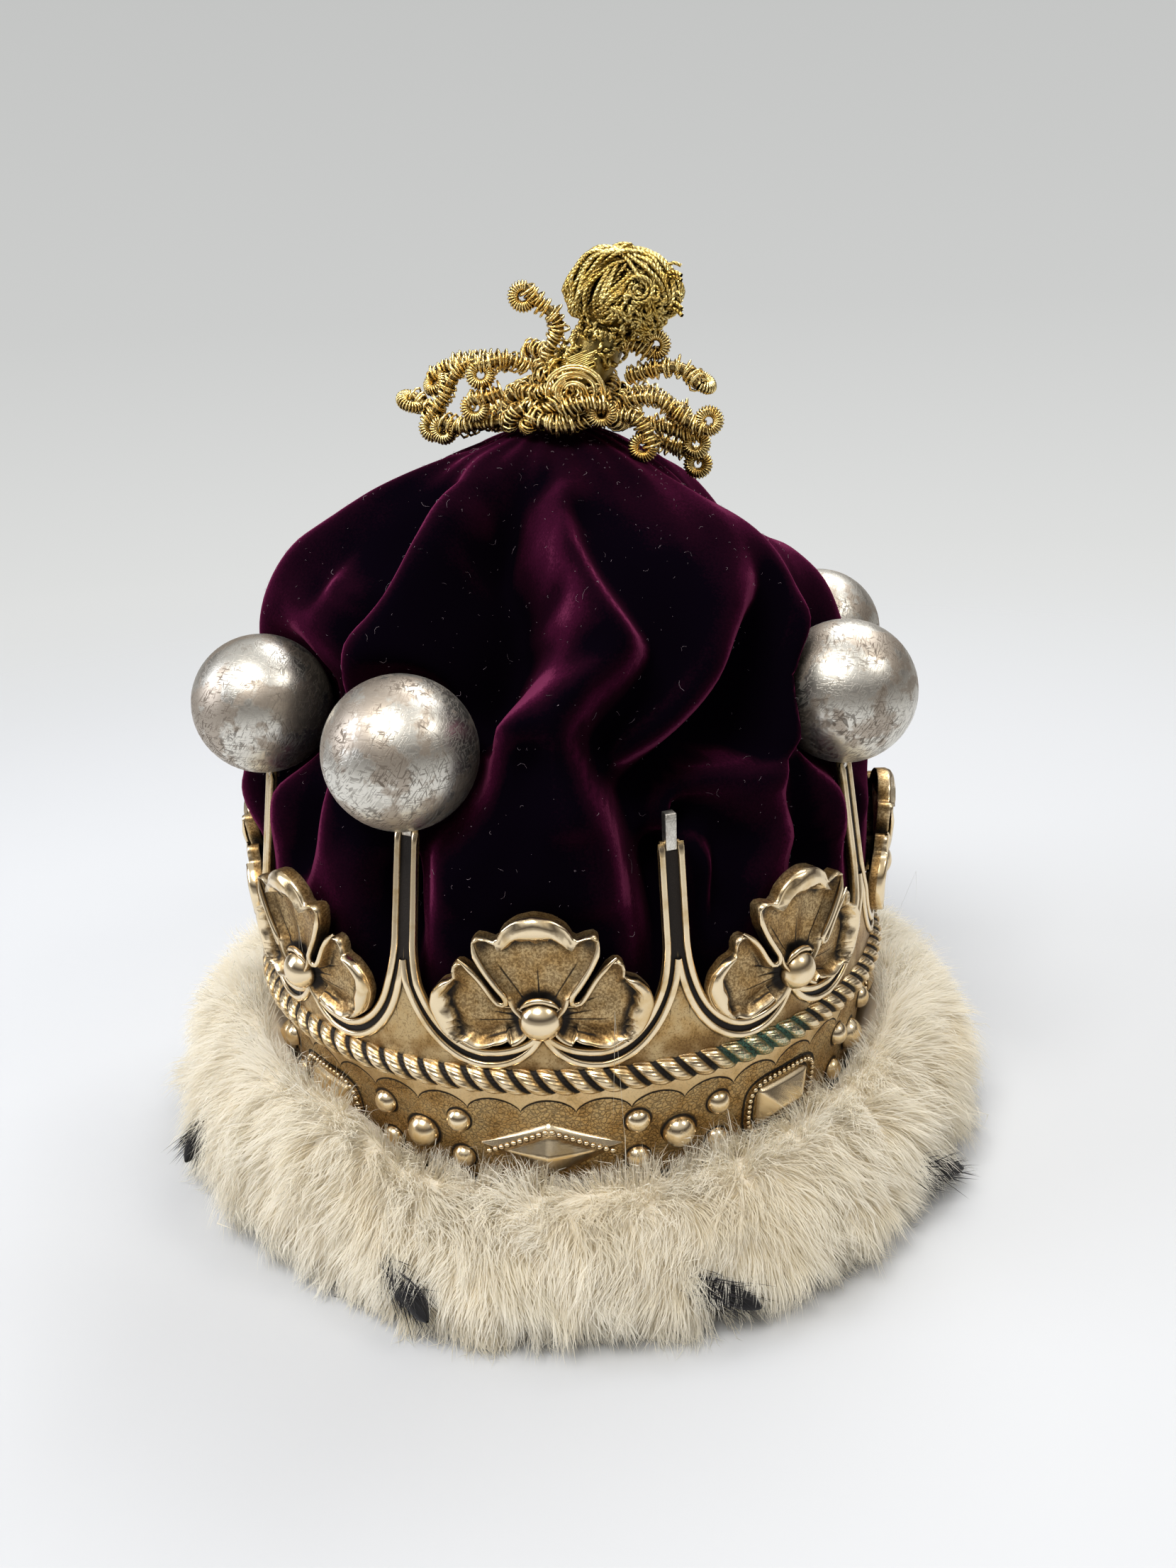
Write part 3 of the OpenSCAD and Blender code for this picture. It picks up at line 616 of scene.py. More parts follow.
def leafPiece(material):
    parts = []
    boss = band["bossHeight"]
    turn = np.radians(np.linspace(38, 142, 26))
    rim = curveThrough(leafLook["notch"], 30)[0]
    for k in range(band["bays"]):
        angle = bent(unturned(k * 360 / band["bays"]))
        for side in (1, -1):
            parts += petalPart(angle, "side", side)
        parts += petalPart(angle, "top", 1)
        centre = domeParts(leafRadius(boss) + 0.6, angle, boss, band["bossRadius"], 12, 28)
        collar = around(leafRadius(boss) + 2.2, angle + degreesFor(leafLook["collar"] * np.cos(turn)),
                        boss + leafLook["collar"] * np.sin(turn))
        thick = np.interp(np.arange(26), [0, 6, 19, 25], [0.3, 0.85, 0.85, 0.3])
        centre.append(tubePart(collar, thick, 8, {"polish": 0.95}))
        thick = np.interp(np.arange(30), [0, 3, 26, 29], [0.3, 0.8, 0.8, 0.3])
        for side in (1, -1):
            height = boss + rim[:, 1]
            path = around(leafRadius(height) + rim[:, 2], angle + side * degreesFor(rim[:, 0]), height)
            centre.append(tubePart(path, thick, 6, {"polish": 0.95}))
        for place, faces, marks in centre:  # far from the veins' pattern
            parts.append((place, faces, {**marks, "plan": np.full((len(place), 3), 90.0)}))
    return dress(joinedPiece("leaves", parts), material, "gilt")


lozengeLook = dict(half=20, middle=37.6, up=7.9, down=10.3, base=0.3, rise=6.2, beads=10, beadRun=17.4)


def lozengeParts(angle):
    # A four-sided point with a beaded edge above
    look = lozengeLook
    half, up, down, rise = look["half"], look["up"], look["down"], look["rise"]
    u, v, faces = gridPattern(36, 24)
    x = (u - 0.5) * 2 * half
    side = np.abs(x) / half
    top, low = look["middle"] + up * (1 - side), look["middle"] - down * (1 - side)
    z = low + (top - low) * v
    apex = np.minimum((top - z) / up, (z - low) / down)
    lift = look["base"] + rise * np.clip(apex, 0, 1) - 0.9 * ((v <= 0.001) | (v >= 0.999))
    polish = 0.92 - 0.6 * np.exp(-((top - z - 2.8) / 0.5) ** 2) * (side < 0.9)
    parts = [(around(sheetRadius(z) + lift, angle + degreesFor(x), z), faces, {"polish": polish})]
    u, v, faces = gridPattern(8, 6)
    bow = (v - 0.5) * np.pi
    for side in (-1, 1):
        for k in range(look["beads"]):
            t = (k + 0.5) / look["beads"]
            x0, z0 = side * look["beadRun"] * (1 - t), look["middle"] + up * t - 1.35 - 0.4 * t
            x = x0 + 0.86 * np.cos(bow) * np.cos(2 * np.pi * u)
            z = z0 + 0.72 * np.cos(bow) * np.sin(2 * np.pi * u)
            slope = (look["middle"] + up * (1 - abs(x0) / half) - z0) / up
            base = sheetRadius(z0) + look["base"] + rise * slope + 0.7 * np.sin(bow)
            parts.append((around(base, angle + degreesFor(x), z), faces, {"polish": 0.97}))
    return parts


tableLook = dict(middle=37, half=(10, 6.2), slope=(6, 6.2), base=0.6, rise=4.0, ring=(12.8, 9.0), beads=42,
                 bead=0.8, grooves=(1.12, 0.86))


def tableParts(angle):
    # A hipped oblong in a row of beads, with a dark groove on each side of the row
    look = tableLook
    halfX, halfZ = look["half"]
    u, v, faces = gridPattern(28, 20)
    x = (u - 0.5) * 2 * halfX
    dz = (v - 0.5) * 2 * halfZ
    hip = np.minimum((halfX - np.abs(x)) / look["slope"][0], (halfZ - np.abs(dz)) / look["slope"][1])
    lift = look["base"] + look["rise"] * np.clip(hip, 0, 1) - 1.0 * (hip < 0.01)
    z = look["middle"] + dz
    parts = [(around(sheetRadius(z) + lift, angle + degreesFor(x), z), faces, {"polish": 0.86})]
    turn = np.linspace(0, 2 * np.pi, 40, endpoint=False)
    ring = np.stack([np.cos(turn), np.sin(turn)], axis=1)
    spots = np.sign(ring) * np.abs(ring) ** 0.55 * look["ring"]
    run = np.concatenate([spots, spots[:1]])
    step = np.concatenate([[0], np.cumsum(np.hypot(*np.diff(run, axis=0).T))])
    u, v, faces = gridPattern(8, 6)
    bow = (v - 0.5) * np.pi
    for at in np.linspace(0, step[-1], look["beads"], endpoint=False):
        reach = look["bead"] * np.cos(bow)
        x = np.interp(at, step, run[:, 0]) + reach * np.cos(2 * np.pi * u)
        z = look["middle"] + np.interp(at, step, run[:, 1]) + reach * np.sin(2 * np.pi * u)
        out = sheetRadius(z) + look["base"] + 0.85 * np.sin(bow)
        parts.append((around(out, angle + degreesFor(x), z), faces, {"polish": 0.95}))
    u, v, faces = gridPattern(40, 2)
    spot = np.rint(u * 40).astype(int) % 40
    for scale in look["grooves"]:
        x = spots[spot, 0] * (scale + 0.05 * (v - 0.5))
        z = look["middle"] + spots[spot, 1] * (scale + 0.1 * (v - 0.5))
        parts.append((around(sheetRadius(z) + 0.14, angle + degreesFor(x), z), faces, {"polish": 0.05}))
    return parts


def studParts(angle, height, radius):
    # A burnished stud in the black ring that polishing leaves round it
    u, v, faces = gridPattern(20, 2)
    reach = radius * (0.9 + 0.32 * v)
    x, z = reach * np.cos(2 * np.pi * u), reach * np.sin(2 * np.pi * u)
    ring = around(sheetRadius(height + z) + 0.16 - 0.14 * v, angle + degreesFor(x), height + z)
    dark = {"polish": 0.04 + 0.4 * smoothStep(v, 0.6, 1.0)}
    return domeParts(sheetRadius(height) - 0.1, angle, height, radius, 9, 20) + [(ring, faces, dark)]


studLook = dict(height=38.1, big=4.8, small=3.5, beside=11.7, above=6.2)


def jewelPiece(material):
    look = studLook
    parts = []
    for k in range(band["bays"]):
        angle = bent(unturned(k * 360 / band["bays"]))
        parts += tableParts(angle) if k % 2 else lozengeParts(angle)
    for ray in rays:
        angle = bent(ray[0])
        parts += studParts(angle, look["height"], look["big"])
        for x in (-look["beside"], look["beside"]):
            for dz in (-look["above"], look["above"]):
                parts += studParts(angle + degreesFor(x), look["height"] + dz, look["small"])
    return dress(joinedPiece("jewels_and_studs", parts), material, "gilt")


plainGilt = giltMaterial("silver_gilt_burnished", "plain")
bandPiece(giltMaterial("silver_gilt_stippled", "band"))
ropePiece(giltMaterial("silver_gilt_rope", "rope"))
mouldings = []
for ray in rays:
    for side in (-1, 1):
        mouldings += mouldParts(ray, side)
        mouldings.append(platePart(ray, side))
dress(joinedPiece("arches_and_rays", mouldings), plainGilt, "gilt")
leafPiece(giltMaterial("silver_gilt_chased_leaf", "leaf"))
jewelPiece(plainGilt)
print("circlet made")

# Balls: raised silver, scratched and clouded
ballLook = dict(
    radius=19.3, seat=0.3, inset=1.5, silver="#dcd8ce", cloud="#a39484", stain="#4d4239",
    # width in mm, detail, roughness
    clouds=(12, 5, 0.62), fine=(1.6, 4, 0.7), specks=(0.8, 2, 0.7), wear=(10, 3, 0.6),
    # width and length in mm; turn and share of the length
    scratch=(0.34, 3.2), scratches=((0.4, 1.0), (1.5, 0.8), (2.5, 1.2), (3.4, 0.9)),
)


def silverMaterial():
    material, tree, place = newMaterial("tarnished_silver")
    look = ballLook
    clouds, fine, specks, wear = [
        addNode(tree, "TexNoise", {"Vector": place, "Scale": 1 / (size * mm), "Detail": detail,
                                   "Roughness": rough})
        for size, detail, rough in (look["clouds"], look["fine"], look["specks"], look["wear"])]
    cloud = addNode(tree, "MapRange", [clouds, 0.49, 0.56], **eased)
    # Short scratches in several directions, 0.3 mm wide, which is as fine as the render shows
    thin, length = look["scratch"]
    marks = addNode(tree, "MapRange", [specks, 0.66, 0.71, 0, 0.8], **eased)
    for turn, size in look["scratches"]:
        spun = addNode(tree, "Mapping", {"Vector": place, "Rotation": (turn * 0.7, turn, turn * 1.3),
                       "Scale": (thin * mm, length * size * mm, length * size * mm)}, vector_type="TEXTURE")
        lines = addNode(tree, "TexNoise", {"Vector": spun, "Scale": 1, "Detail": 1})
        cut = addNode(tree, "MapRange", [lines, 0.6, 0.66], **eased)
        marks = addNode(tree, "Math", [marks, cut], operation="MAXIMUM")
    handled = addNode(tree, "MapRange", [wear, 0.4, 0.56, 0.35, 1], **eased)
    worn = addNode(tree, "Math", [marks, handled], operation="MULTIPLY")
    tone = ink(look["silver"])
    for mark, share, colour in ((cloud, 0.75, "cloud"), (worn, 0.6, "stain")):
        mark = addNode(tree, "Math", [mark, share], operation="MULTIPLY")
        tone = addNode(tree, "Mix", {0: mark, 6: tone, 7: ink(look[colour])}, 2, **ofColours)
    rough = addNode(tree, "MapRange", [cloud, 0, 1, 0.25, 0.38], **eased)
    rough = addNode(tree, "Math", [fine, 0.12, rough], operation="MULTIPLY_ADD")
    rough = addNode(tree, "Math", [worn, 0.25, rough], operation="MULTIPLY_ADD")
    height = addNode(tree, "Math", [fine, 0.3], operation="MULTIPLY")
    height = addNode(tree, "Math", [height, worn], operation="SUBTRACT")
    bump = addNode(tree, "Bump", {"Strength": 0.2, "Distance": 0.15 * mm, "Height": height})
    shader = addNode(tree, "BsdfPrincipled", {"Base Color": tone, "Roughness": rough, "Normal": bump,
                                              "Metallic": 1})
    addNode(tree, "OutputMaterial", [shader], None)
    return material


def ballPiece(ray, material):
    look = ballLook
    name = "silver_" + ray[3]
    bm = bmesh.new()
    bmesh.ops.create_uvsphere(bm, u_segments=64, v_segments=32, radius=look["radius"] * mm)
    centre = around(ray[2] - look["inset"], bent(ray[0]), ray[1] + look["seat"] + look["radius"]) * mm
    bmesh.ops.translate(bm, vec=Vector(centre), verts=bm.verts)
    mesh = bpy.data.meshes.new(name)
    bm.to_mesh(mesh)
    bm.free()
    mesh.shade_smooth()
    piece = bpy.data.objects.new(name, mesh)
    bpy.context.collection.objects.link(piece)
    return dress(piece, material, "silver_ball", ray[3])


silver = silverMaterial()
dress(joinedPiece("ray_tenons", [tenonPart(ray) for ray in rays]), silver, "gilt")
for ray in rays:
    if ray[3]:
        ballPiece(ray, silver)
print("balls made")

# Cap: silk velvet gathered under the tassel. Its folds are drawn as crests and valleys on a smooth dome,
# and the cloth runs between them
capLook = dict(
    columns=288, rows=104, thickness=1.7, ease=0.03, boost=1.2, crestScale=0.55,
    clearBall=21.6, clearRay=2.4, clearBand=1.9,
    # height, radius of the dome under the folds
    dome=[(25.6, 87), (60, 90), (84, 88.5), (100, 87), (120, 85.5), (140, 82.5), (152, 79), (163, 74),
          (173, 67), (183, 56.5), (193.5, 42.5), (203, 27), (209, 13), (211.5, 0)],
    # where the pile was stroked up (wine red) or down (black), partly crushed pile and partly painted
    # highlight and painted shade on the folds: angle, height, width, how much
    stroked_pile_and_painted_light=[(3, 180, 13, 0.16), (10, 170, 9, 0.16), (2, 156, 8, 0.2), (-14, 198, 15, 0.18),
             (-60, 108, 17, 0.22), (-38, 104, 9, 0.16), (48, 112, 16, 0.32), (33, 128, 9, 0.2),
             (48, 188, 12, 0.2), (-68, 172, 12, 0.24), (12, 110, 6, 0.22), (36, 176, 11, 0.1),
             (-20, 170, 13, -0.16), (26, 112, 10, -0.3), (20, 191, 11, -0.05), (-8, 106, 10, -0.2),
             (46, 150, 13, -0.25), (-4, 125, 7, -0.1)],
    # Ramp colours: the cloth's own near black, then painted shade, then two colours of painted sheen for the
    # edges; the last colour tints the shader's sheen
    pile="#060309", shadow="#1b0612", painted_sheen="#380d24", edge="#622542", sheen="#8a4560",
    naps=((24, 0.6), (0.7, 0.8)),  # crushed patches and pile: width in mm, roughness
)
# Along each line: angle, height, how far the cloth stands out from the dome
capFolds = dict(
    frontLeftEdge=[(-36, 118, 2), (-36, 136, 4), (-35, 153, 6), (-35, 159, 7), (-35, 164, 8), (-31, 168, 8),
                   (-29, 173, 7), (-29, 180, 7), (-30, 185, 7), (-32, 191, 6), (-32, 195, 5), (-28, 198, 4),
                   (-22, 202, 3), (-13, 206, 2)],
    frontLeftFace=[(-19, 150, -6), (-19, 159, -5), (-21, 171, -3), (-22, 181, -2), (-22, 189, -1),
                   (-19, 194, -1)],
    leftGully=[(-44, 146, -13), (-45, 160, -13), (-41, 170, -8), (-40, 181, -5), (-41, 190, -3),
               (-40, 197, -1)],
    middleValley=[(-8, 142, -8), (-7, 148, -11), (-3, 159, -15), (0, 169, -17), (-4, 179, -17),
                  (-11, 184, -15), (-17, 188, -12), (-15, 194, -9), (-9, 197, -5), (1, 200, -2)],
    middleEdge=[(10, 198, 2), (9, 191, 4), (9, 185, 7), (12, 178, 9), (14, 172, 10), (17, 167, 11),
                (18, 163.5, 11)],
    middleDrop=[(14, 193, 0), (14, 186, 1), (16, 178, 2), (19, 172, 2), (22, 166, 1), (23, 162, -1)],
    middleFlank=[(4, 173, -6), (6, 178, -3), (2, 185, -4)],
    lowTopEdge=[(16, 165, 9), (11, 164, 6), (5, 160, 4), (-1, 155, 4), (-4, 152, 4)],
    lowLeftEdge=[(-4, 152, 4), (-6, 149, 5), (-7, 140, 6), (-11, 131, 6), (-15, 123, 5), (-19, 115, 4),
                 (-20, 103, 2), (-19, 84, 0)],
    lowRightEdge=[(18, 163, 10), (16, 160, 8), (12, 156, 6), (8, 151, 5), (7, 146, 4), (8, 139, 5),
                  (10, 132, 6), (12, 122, 6), (13, 111, 5), (14, 98, 3), (15, 84, 0)],
    lowDrop=[(22, 160, -4), (19, 156, -6), (15, 151, -8), (11, 146, -10), (12, 139, -9), (14, 132, -9),
             (16, 122, -9), (17, 111, -8), (18, 98, -5)],
    lowCrest=[(14, 160, 9), (10, 155, 9), (7, 148, 9), (4, 137, 8)],
    lowFace=[(0, 143, 2), (-3, 129, 5), (-3, 114, 5), (-3, 98, 2)],
    rightFace=[(28, 197, 2), (32, 192, 3), (31, 183, 3), (33, 176, 2), (28, 168, -2), (23, 159, -6),
               (15, 148, -9)],
    rightFaceEdge=[(11, 137, -7), (17, 142, -3), (24, 146, 1), (30, 152, 4), (35, 157, 5), (40, 165, 5),
                   (48, 170, 4), (57, 173, 2)],
    rightValley=[(17, 129, -17), (25, 132, -21), (37, 139, -22), (45, 148, -20), (50, 157, -16),
                 (56, 166, -8)],
    frontValley=[(27, 122, -21), (26, 109, -19), (24, 97, -14), (23, 84, -5)],
    shoulderEdge=[(59, 187, 5), (61, 184, 5), (62, 179, 5), (64, 175, 5), (62, 170, 5), (58, 164, 5),
                  (54, 154, 5), (51, 145, 5), (49, 137, 5), (47, 132, 6), (42, 130, 3), (38, 129, 0)],
    shoulderTop=[(105, 201, -2), (74, 195, 0), (59, 187, 5)],
    outerValley=[(76, 172, 0), (74, 163, -3), (70, 150, -8), (66, 134, -13)],
    outerEdge=[(86, 190, -4), (88, 182, -1), (90, 175, 3), (92, 165, 4), (92, 153, 4), (91, 138, 5),
               (90, 120, 5), (90, 102, 3)],
    lowRightTop=[(28, 131, -9), (31, 134, -7), (37, 135, -5), (44, 133, -3), (52, 130, -1)],
    lowRightLeftEdge=[(26, 130, -9), (26, 123, -6), (27, 114, -3), (28, 106, -1), (27, 93, 0),
                      (27, 82, -1)],
    lowRightCrest=[(38, 126, 0), (38, 120, -1)],
    lowRightSlant=[(46, 113, 4), (37, 104, 4), (32, 92, 3)],
    lowRightDip=[(35, 115, -8), (33, 104, -6), (32, 95, -4)],
    lowRightHollow=[(51, 121, -5), (57, 101, -5), (54, 90, -4)],
    lowRightOuter=[(55, 128, 3), (57, 119, 5), (58, 109, 5), (60, 93, 3)],
    farLeftEdge=[(-78, 140, 6), (-78, 152, 8), (-78, 160, 9), (-77, 168, 10), (-75, 176, 11), (-72, 184, 9),
                 (-66, 191, 7), (-64, 197, 5), (-60, 203, 3)],
    farLeftBack=[(-98, 148, 3), (-98, 168, 0), (-96, 184, -4), (-92, 196, -4)],
    farLeftFace=[(-63, 171, 1), (-61, 181, 1), (-53, 189, 0)],
    farLeftCrease=[(-56, 175, 3), (-49, 174, 0), (-44, 172, -6)],
    farLeftLow=[(-69, 161, 3), (-59, 165, 2), (-51, 161, -5)],
    leftPocket=[(-60, 152, -12), (-56, 142, -14), (-52, 133, -9)],
    leftCrest=[(-57, 123, 4), (-56, 112, 5), (-61, 96, 3)],
    leftSlant=[(-40, 128, 1), (-42, 115, 3), (-47, 100, 2)],
    leftDip=[(-68, 116, -5), (-67, 98, -4)],
    leftHollow=[(-49, 119, -7), (-50, 104, -4)],
    leftShort=[(-27, 116, -3), (-31, 110, 1), (-31, 101, 1), (-29, 91, 0)],
    rayValley=[(-25, 112, -13), (-25, 102, -13), (-24, 92, -7)],
    leftOuter=[(-93, 108, 5), (-92, 118, 7), (-88, 130, 7)],
    leftBulge=[(-77, 94, 4), (-77, 104, 8), (-78, 114, 10), (-79, 124, 8)],
    backRight=[(134, 96, 3), (136, 118, 6), (132, 138, 9), (137, 154, 10), (141, 172, 8), (136, 186, 6),
               (128, 198, 3)],
    back=[(180, 96, 3), (177, 120, 6), (184, 140, 9), (186, 155, 10), (181, 172, 9), (176, 186, 6),
          (180, 199, 2)],
    backLeft=[(-134, 96, 3), (-138, 118, 6), (-134, 139, 9), (-129, 155, 10), (-134, 172, 8),
              (-140, 186, 6), (-142, 198, 2)],
    backValleys=[(112, 92, -2), (112, 112, -12), (113, 142, -19), (109, 160, -14), (113, 178, -9),
                 (110, 194, -4)],
    backValleyTwo=[(158, 92, -2), (156, 116, -13), (159, 142, -19), (162, 162, -14), (156, 180, -9),
                   (157, 195, -3)],
    backValleyThree=[(-158, 92, -2), (-157, 114, -13), (-160, 142, -19), (-157, 162, -14), (-161, 180, -9),
                     (-160, 195, -3)],
    backValleyFour=[(-112, 92, -2), (-111, 116, -12), (-113, 142, -19), (-109, 162, -13), (-112, 180, -8),
                    (-108, 194, -3)],
    backBranch=[(150, 172, 0), (155, 158, -6), (150, 138, -7)],
    backBranchTwo=[(-170, 178, 1), (-166, 163, -4), (-172, 146, -2), (-170, 126, -4)],
    crown=[(0, 207, 1), (60, 206, 2), (120, 205, 2), (180, 206, 1), (-120, 206, 1), (-60, 206, 1)],
    foot=[(k, 50, -1) for k in range(-180, 180, 15)],
    footEdge=[(k, 27, 0) for k in range(-180, 180, 20)],
)


def domeLine(rows):
    # Even rows up the dome: height, radius and the outward direction (across, up)
    heights, radii = np.array(capLook["dome"], float).T
    step = np.concatenate([[0], np.cumsum(np.hypot(np.diff(heights), np.diff(radii)))])
    way = np.linspace(0, step[-1], rows + 1)
    line = np.stack([np.interp(way, step, heights), np.interp(way, step, radii)])
    for k in range(8):
        line[:, 1:-1] = (line[:, :-2] + 2 * line[:, 1:-1] + line[:, 2:]) / 4
    up, out = np.gradient(line, axis=1)
    size = np.hypot(up, out)
    return line[0], line[1], up / size, -out / size


def foldKnots():
    knots = []
    heights, radii = zip(*capLook["dome"])
    for name, line in capFolds.items():
        line = np.array(line, float)
        if name not in ("crown", "foot", "footEdge"):
            fine = np.linspace(0, len(line) - 1, 4 * len(line) - 3)
            line = np.stack([np.interp(fine, np.arange(len(line)), line[:, k]) for k in range(3)], axis=1)
        spots = around(np.interp(line[:, 1], heights, radii), line[:, 0], line[:, 1])
        knots.append(np.column_stack([spots, line[:, 2]]))
    return np.concatenate(knots)


def clothOut(spots):
    # How far the cloth stands out at each spot of the dome, led by the fold lines
    knots = foldKnots()
    count = len(knots)
    apart = np.linalg.norm(knots[:, None, :3] - knots[None, :, :3], axis=2)
    rules = np.zeros((count + 1, count + 1))
    rules[:count, :count] = -apart + np.eye(count) * capLook["ease"]
    rules[count, :count] = rules[:count, count] = 1
    weights = np.linalg.solve(rules, np.append(knots[:, 3], 0))
    out = np.full(len(spots), weights[-1])
    for k in range(count):
        out -= weights[k] * np.linalg.norm(spots - knots[k, :3], axis=1)
    return out


def keptClear(radius, angle, height):
    # The cloth stays clear of the balls, the rays and the band
    look = capLook
    for ray in rays:
        away = unturned(angle - bent(ray[0]))
        if ray[3]:
            middle, centre = ray[2] - ballLook["inset"], ray[1] + ballLook["seat"] + ballLook["radius"]
            beside = np.hypot(middle * np.sin(np.radians(away)), height - centre)
            rest = np.maximum(look["clearBall"] ** 2 - beside ** 2, 0)
            limit = middle * np.cos(np.radians(away)) - np.sqrt(rest)
            limit += np.maximum(beside - look["clearBall"], 0) * 1.3
            radius = np.where(np.abs(away) < 40, np.minimum(radius, limit), radius)
        beside = smoothStep(np.abs(away), 3, 9)
        limit = sheetRadius(np.minimum(height, ray[1]), ray) - look["clearRay"] + 12 * beside
        radius = np.where(height < ray[1] + 2, np.minimum(radius, limit), radius)
    inside = sheetRadius(np.minimum(height, band["bendHeight"])) - look["clearBand"]
    inside += 2 * smoothStep(height, 101, 108)
    # On the left the cloth bulges out over the band, between a ray and a leaf
    inside += 5 * np.exp(-((unturned(angle) + 77) / 6) ** 2) * smoothStep(height, 94, 108)
    return np.where(height < 125, np.minimum(radius, inside), radius)


def velvetMaterial():
    # Silk velvet: near black where the cloth faces the eye; its colour carries a painted sheen, wine red
    # towards the grazing edges and on the fold crests, and painted shade in the valleys, besides the shader's
    # own sheen
    material, tree, place = newMaterial("silk_velvet")
    look = capLook
    crush, pile = [
        addNode(tree, "TexNoise", {"Vector": place, "Scale": 1 / (size * mm), "Detail": 4,
                                   "Roughness": rough})
        for size, rough in look["naps"]]
    # Painted sheen: the facing value lightens the colour towards the cloth's grazing edges
    lean = addNode(tree, "LayerWeight", {"Blend": 0.5}, "Facing")
    # Painted light on the folds: lighter on the crests, darker in the valleys where shade falls
    crest = addNode(tree, "Attribute", out="Fac", attribute_name="crest")
    lean = addNode(tree, "Math", [lean, crest], operation="ADD")
    for nap, share in ((crush, 0.4), (pile, 0.5)):
        nap = addNode(tree, "Math", [nap, 0.5], operation="SUBTRACT")
        lean = addNode(tree, "Math", [nap, share, lean], operation="MULTIPLY_ADD")
    # The ramp runs from the cloth's near black through painted shade to painted sheen at the edges
    tone = addNode(tree, "ValToRGB", [lean], stops=[(0.25, look["pile"]), (0.58, look["shadow"]),
                                                     (0.84, look["painted_sheen"]), (1.0, look["edge"])])
    bump = addNode(tree, "Bump", {"Strength": 0.3, "Distance": 0.25 * mm, "Height": pile})
    shader = addNode(tree, "BsdfPrincipled", {"Base Color": tone, "Normal": bump, "Roughness": 0.95,
                     "Sheen Weight": 0.12, "Sheen Roughness": 0.3, "Sheen Tint": ink(look["sheen"]),
                     "Specular IOR Level": 0})
    addNode(tree, "OutputMaterial", [shader], None)
    return material


def softened(field):
    # Each value averaged with its neighbours, round the dome and up it
    edge = np.concatenate([field[:, -2:-1], field, field[:, 1:2]], axis=1)
    field = (edge[:, :-2] + 2 * field + edge[:, 2:]) / 4
    field[1:-1] = (field[:-2] + 2 * field[1:-1] + field[2:]) / 4
    return field


def capPiece(material):
    look = capLook
    columns, rows = look["columns"], look["rows"]
    u, v, faces = gridPattern(columns, rows)
    height, radius, across, up = (line[np.rint(v * rows).astype(int)] for line in domeLine(rows))
    angle = u * 360
    out = clothOut(around(radius, angle, height)).reshape(rows + 1, columns + 1)
    out = np.where(out > 0, out, out * look["boost"]) + 0.1 * np.maximum(out, 0)
    out = softened(out)  # rounds the creases a little
    out[-1] = out[-2].mean()
    wide = out
    for k in range(4):  # the cloth's mean level round each spot
        wide = softened(wide)
    # Painted fold light: crests above the cloth's mean level get a painted highlight in the velvet's colour,
    # valleys below it painted shade
    crest = np.clip((out - wide) / look["crestScale"], -1, 1).ravel()
    out = out.ravel()
    # Slack ripples, 20 to 60 mm apart
    slack = smoothStep(height, 84, 110) * smoothStep(radius, 5, 30)
    out += slack * (0.45 * np.sin(np.radians(angle * 9) + height * 0.16)
                    + 0.3 * np.sin(np.radians(angle * 23) - height * 0.21))
    radius, height = radius + out * across, height + out * up
    cut = (radius - keptClear(radius, angle, height)).reshape(rows + 1, columns + 1)
    for k in range(3):  # the hollows round the balls run out softly
        cut = np.maximum(cut, softened(cut))
    radius = np.maximum(radius - cut.ravel(), 0)
    radius = np.where(v > 0.9999, 0, radius)
    spots = around(radius, angle, height)
    # Spots of crushed pile, which also paint highlight and shade onto the folds
    pile_and_painted_light = np.zeros(len(spots))
    for spotAngle, spotHeight, width, share in look["stroked_pile_and_painted_light"]:
        middle = around(np.interp(spotHeight, *zip(*look["dome"])), spotAngle, spotHeight)
        pile_and_painted_light += share * np.exp(-(np.linalg.norm(spots - middle, axis=1) / width) ** 2)
    piece = joinedPiece("velvet_folds", [(spots, faces, {"crest": 0.2 * crest + pile_and_painted_light})])
    wall = piece.modifiers.new("wall", "SOLIDIFY")
    wall.thickness = look["thickness"] * mm
    wall.offset = -1
    area = sum(face.area for face in piece.data.polygons)
    width = (4 * area / np.pi) ** 0.5  # cut as one round piece
    print("velvet area", round(area, 4), "round cut", round(width, 3))
    dress(piece, material, "velvet", "velvet_cap")
    return piece


lintLook = dict(fibres=1700, above=84, lift=0.12, short=0.45, least=0.08, long=1.8, longShare=0.05, curl=0.45,
                rise=0.25, thick=(0.016, 0.032))


def lintPiece(cloth, material):
    # Pale fibres and specks caught in the pile
    look = lintLook
    parts = []
    points = [vert for vert in cloth.data.vertices if vert.co.z > look["above"] * mm]
    for k in range(look["fibres"]):
        vert = points[chance.integers(len(points))]
        out = np.array(vert.normal)
        spot = np.array(vert.co) / mm + out * look["lift"]
        along = np.cross(out, chance.normal(size=3))
        along /= np.linalg.norm(along)
        curl = np.cross(out, along)
        length = chance.exponential(look["short"]) + look["least"]
        length += look["long"] * (chance.random() < look["longShare"])
        bow = chance.uniform(-look["curl"], look["curl"]) * length
        t = np.linspace(-1, 1, 4)[:, None]
        path = spot + along * t * length / 2 + (curl * bow + out * look["rise"]) * (1 - t ** 2)
        parts.append(tubePart(path, chance.uniform(*look["thick"]), 3))
    return dress(joinedPiece("velvet_lint", parts, weld=False), material, "velvet")


